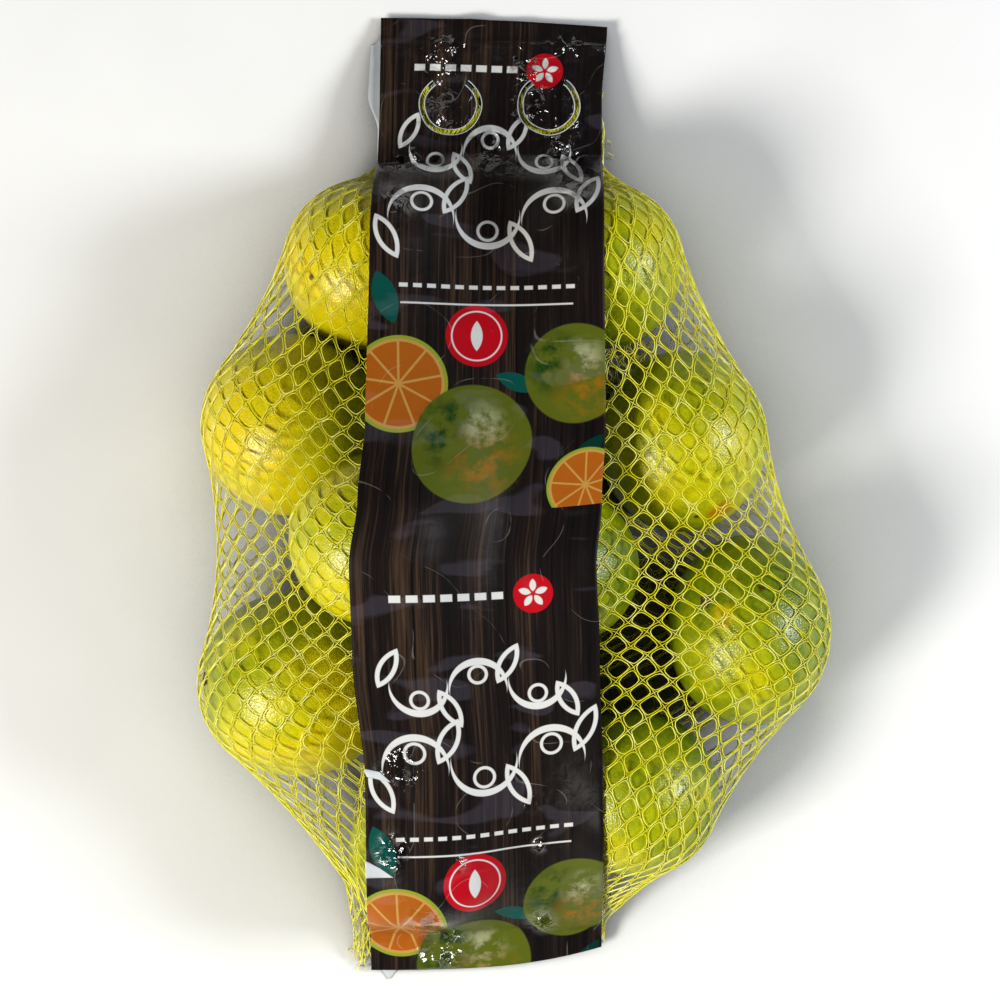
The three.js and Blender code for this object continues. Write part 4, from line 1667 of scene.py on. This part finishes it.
@dataclass
class FrontBand(FilmBand):
    """The band on the shown side, drawn tight from the header to the foot over the fruit.

    Attributes:
        seal: the y of the heat seal that joins both bands across the header.
        lip: the radius of the curled edges of its hang slits, which gape.
    """

    seal: float = 187.0
    lip: float = 0.22

    # Where the film is crushed: x, y, how far round, and how much.
    crushed = ((-25, 158, 5.5, 1.0), (-26, 179, 6, 0.8), (9.5, 177, 6, 1.0), (13.5, 161, 6, 1.0),
               (25, 143.5, 7, 1.0), (-3, 144.5, 6, 0.8), (28, 185.5, 7, 0.6), (-22, 187, 8, 0.4),
               (-38, 140, 6, 0.5), (-40, 117, 8, 0.5), (30, 122, 9, 0.4), (-38, -104, 9, 0.8),
               (-41, -138, 6, 1.0), (-24, -184, 9, 1.0), (-30, -166, 7, 0.6), (16.5, -171, 5, 0.7),
               (-16, -143, 4, 0.5), (15.6, -137, 3, 0.7), (13, -119, 4, 0.6))
    # The creases right across it, below the seal and at the shoulder: y, how far, and how much.
    creases = ((185.0, 3.0, 0.3), (134.0, 7.0, 0.25))
    # The corners of each fold that turns the pale side up.
    folds = (((-52.8, -141.2), (-46.8, -144.4), (-41.8, -147.9), (-52.8, -148.6)),
             ((-52.6, -103.8), (-46.6, -105.2), (-42.3, -109.4), (-51.6, -107.2)))

    def build(self) -> None:
        """Makes the band and its turned-over folds."""
        across, down = self.grid()
        top, bottom = self.ends(across)
        y = top + (bottom - top) * down
        middle, width = self.front_line(y)
        x = middle + (across - 0.5) * width
        crumple = self.crumple(x, y)
        height = self.heights(x, y) + self.relief(x, y, crumple)
        band = self.sheet("front_film_band", [x, y, height], crumple, (self.outside, self.inside))
        keep(band, Slot.PRINT, "front_film")
        keep(self.turned_over(height), Slot.INSIDE, "front_film")
        keep(strands("front_film_slit_lips", self.lips(height), False, self.lip, self.inside),
             Slot.INSIDE, "front_film")

    def lips(self, height: np.ndarray) -> list:
        """The curled cut edges of the hang slits, which show the film's pale side.

        Args:
            height: the band's heights, on its grid.

        Returns:
            The points along each edge.
        """
        paths = []
        points, beside, waviness, lift = 60, 0.1, 0.12, 0.05
        turn = np.radians(np.linspace(90 + self.slit_opening / 2, 450 - self.slit_opening / 2,
                                      points))
        for side in (-1, 1):
            middle = self.slit_middle(side)
            for radius in (self.slit_radius + beside, self.slit_radius - self.slit_width - beside):
                wavy = radius + waviness * np.sin(5.3 * turn + side)
                x, y = middle[0] + wavy * np.cos(turn), middle[1] + wavy * np.sin(turn)
                z = [self.height_at(height, *place) + lift for place in zip(x, y)]
                paths.append(np.column_stack([x, y, z]))
        return paths

    def turned_over(self, height: np.ndarray) -> Piece:
        """Makes the small folds that lie on the band with their pale side up.

        Args:
            height: the band's heights, on its grid.

        Returns:
            The piece.
        """
        shape = bmesh.new()
        for a, b, c, d in self.folds:
            made = bmesh.ops.create_grid(shape, x_segments=12, y_segments=8, size=0.5)
            for vert in made["verts"]:
                s, t = vert.co.x + 0.5, 0.5 - vert.co.y
                x, y = read_grid(np.array([[a, b], [d, c]]), t, s)
                lift = 0.3 + 0.9 * math.sin(math.pi * t) * (1 - s)
                vert.co = (x, y, self.height_at(height, x, y) + lift)
        return self.thickened(from_bmesh("front_film_folds", shape, [self.inside]))

    def height_at(self, height: np.ndarray, x: float, y: float) -> float:
        """The band's height at a place in plan.

        Args:
            height: the band's heights, on its grid.
            x: the place across.
            y: the place along.

        Returns:
            The height.
        """
        middle, width = self.front_line(np.array([y]))
        across = float(np.clip((x - middle[0]) / width[0] + 0.5, 0, 1))
        top, bottom = self.ends(across)
        down = np.clip((y - top) / (bottom - top), 0, 1)
        return float(read_grid(height, down * self.rows, across * self.columns))

    def heights(self, x: np.ndarray, y: np.ndarray) -> np.ndarray:
        """The draped film's upper side, without its wrinkles.

        Args:
            x: the places across, as a grid.
            y: the places along, as a grid.

        Returns:
            The heights.
        """
        ends = end_height(y) + self.off_ends
        limit = np.maximum(self.over_net(x, y, 1) + self.off_net, ends)
        padded = np.pad(limit, ((2, 2), (1, 1)), mode="edge")
        limit = np.maximum.reduce([padded[2 + j:2 + j + len(limit), 1 + i:1 + i + limit.shape[1]]
                                   for j in (-2, 0, 2) for i in (-1, 0, 1)])
        limit = np.where((y > HEADER.shoulder) | (y < FOOT.shoulder), ends, limit)
        free = (y < HEADER.shoulder) & (y > FOOT.shoulder)
        rows, columns = 5, 4  # how many of the fine grid's steps make one of the coarse grid's
        coarse = (slice(None, None, rows), slice(None, None, columns))
        rough = self.draped(limit[coarse], limit[coarse], free[coarse], 1, 0.0)
        j, i = np.indices(limit.shape)
        start = read_grid(rough, j / rows, i / columns)
        return self.draped(limit, start, free, 1, 0.0)

    def crumple(self, x: np.ndarray, y: np.ndarray) -> np.ndarray:
        """How crumpled the film is: round the hang slits, at the shoulder, and down at the foot.

        Args:
            x: the places across, as a grid.
            y: the places along, as a grid.

        Returns:
            Values from 0 to 1.
        """
        total = np.full(x.shape, 0.05)
        for spot_x, spot_y, reach, amount in self.crushed:
            total += amount * np.exp(-((x - spot_x) ** 2 + (y - spot_y) ** 2) / reach ** 2)
        for side in (-1, 1):
            middle = self.slit_middle(side)
            total += 0.35 * smoothstep(20, 13, np.hypot(x - middle[0], y - middle[1]))
        for crease_y, reach, amount in self.creases:
            total += amount * np.exp(-((y - crease_y) / reach) ** 2)
        total += 0.08 * smoothstep(-80, -125, y) * (0.5 + 0.5 * wavelets(x, y, 60, 5))
        return np.clip(total, 0, 1)

    def relief(self, x: np.ndarray, y: np.ndarray, crumple: np.ndarray) -> np.ndarray:
        """The film's wrinkles above its drawn form.

        Args:
            x: the places across, as a grid.
            y: the places along, as a grid.
            crumple: how crumpled the film is.

        Returns:
            Heights to add.
        """
        broad = 0.35 * wavelets(x, 0.6 * y, 46, 1)
        ridges = 1 - np.abs(wavelets(x, y, 15, 2))
        fine = 1 - np.abs(wavelets(x, y, 7, 3))
        seal = 0.8 * np.exp(-((y - self.seal + 0.04 * x) / 0.8) ** 2)
        lip = 0.6 * smoothstep(self.seal + 1, self.seal + 5, y) * wavelets(x, y, 22, 4)
        return (0.3 + broad + crumple * (0.9 * ridges + 0.75 * fine) + seal + lip).clip(0)


@dataclass
class BackBand(FilmBand):
    """The band that the bag lies on, whose white inside shows beside the header.

    Attributes:
        offset: how far its header lies to the right of the front band's.
        offset_at_foot: how far its foot does.
        width: of the band.
        shorter: how far its two ends stop short of the front band's.
        header_corner: how much further its upper left corner does, and over what share of its
            width.
        foot_corner: how far its lower left corner sticks out, and over what share.
        sag: how far it sinks in each pass.
        off_ends: the distance from the middle of the bag's flat ends.
        slit_width: of its hang slits, which stay shut.
    """

    offset: float = -4.2
    offset_at_foot: float = 2.0
    width: float = 92.0
    shorter: Pair = (1.5, 1.2)
    header_corner: Pair = (9.5, 0.12)
    foot_corner: Pair = (5.6, 0.045)
    sag: float = 0.02
    off_ends: float = 0.75
    slit_width: float = 0.8

    def build(self) -> None:
        """Makes the band."""
        across, down = self.grid()
        top, bottom = self.ends(across)
        top -= self.shorter[0] + self.header_corner[0] * smoothstep(self.header_corner[1], 0.0,
                                                                    across)
        corner = np.clip(1 - np.abs(across / self.foot_corner[1] - 1), 0, 1)
        bottom += self.shorter[1] - self.foot_corner[0] * corner
        y = top + (bottom - top) * down
        shift = self.offset * smoothstep(150, 165, y) + self.offset_at_foot * down
        x = self.front_line(y)[0] + shift + (across - 0.5) * self.width
        limit = self.over_net(x, y, -1) - self.off_net
        ends = end_height(y) - self.off_ends
        fixed = (y > HEADER.shoulder) | (y < FOOT.shoulder)
        limit = np.where(fixed, ends, np.maximum(limit, self.thickness))
        height = self.draped(limit, limit, ~fixed, -1, self.sag)
        height = np.maximum(height, self.thickness + 0.02)
        band = self.sheet("back_film_band", [x, y, height], 0 * x, (self.inside, self.outside))
        keep(band, Slot.INSIDE, "back_film")


# ---- Studio ----


@dataclass(frozen=True)
class Studio:
    """A pale floor, two soft boxes and the camera straight above the bag.

    Attributes:
        camera_height: above the floor, in metres.
        lens: the camera's focal length in millimetres.
        sensor: its width in millimetres.
        sky: the colour and strength of the light from all round.
        lights: the name, place in metres, power in watts and colour of each soft box.
        box: the side of a soft box in metres.
        paper: half the side of the floor, in millimetres.
    """

    camera_height: float = 1.286
    lens: float = 112.5
    sensor: float = 36.0
    sky: tuple[str, float] = ("#f4f6ff", 0.022)
    lights: tuple = (("key", (-1.1, -0.72, 1.05), 31, "#fffdf6"),
                     ("fill", (1.35, 0.1, 0.8), 22, "#f8fbff"))
    box: float = 0.5
    paper: float = 4000.0

    def build(self) -> None:
        """Makes the floor, the lights and the camera."""
        shape = bmesh.new()
        bmesh.ops.create_grid(shape, x_segments=1, y_segments=1, size=self.paper)
        floor = from_bmesh("floor", shape, [FloorFinish().material()])
        for light in self.lights:
            self.soft_box(*light)
        world = bpy.data.worlds.new("studio")
        world.use_nodes = True
        background = world.node_tree.nodes["Background"].inputs
        background["Color"].default_value = linear(self.sky[0])
        background["Strength"].default_value = self.sky[1]
        bpy.context.scene.world = world
        bpy.context.scene.view_settings.view_transform = "Standard"
        data = bpy.data.cameras.new("camera")
        data.lens = self.lens
        data.sensor_width = self.sensor
        camera = bpy.data.objects.new("camera", data)
        camera.location = (*in_frame((0, 0, 0))[:2], self.camera_height)
        bpy.context.scene.collection.objects.link(camera)
        bpy.context.scene.camera = camera

    def soft_box(self, name: str, at: Triple, watts: float, colour: str) -> None:
        """Adds a square light that looks at the bag.

        Args:
            name: of the light.
            at: its place in metres.
            watts: its power.
            colour: its sRGB colour.
        """
        data = bpy.data.lights.new(name, "AREA")
        data.size = self.box
        data.energy = watts
        data.color = linear(colour)[:3]
        light = bpy.data.objects.new(name, data)
        light.location = at
        light.rotation_euler = (Vector((0, 0, 0.05)) - Vector(at)).to_track_quat(
            "-Z", "Y").to_euler()
        bpy.context.scene.collection.objects.link(light)


def main() -> None:
    """Builds the bag from the inside out, and then the studio."""
    logging.basicConfig(level=logging.INFO, format="%(message)s")
    FruitHeap().build()
    tube = NetTube()
    KnittedNet(tube).build()
    films = PrintedFilmFinish().material(), FILM_INSIDE.material()
    FrontBand(tube, *films).build()
    BackBand(tube, *films).build()
    Studio().build()


if __name__ == "__main__":
    main()
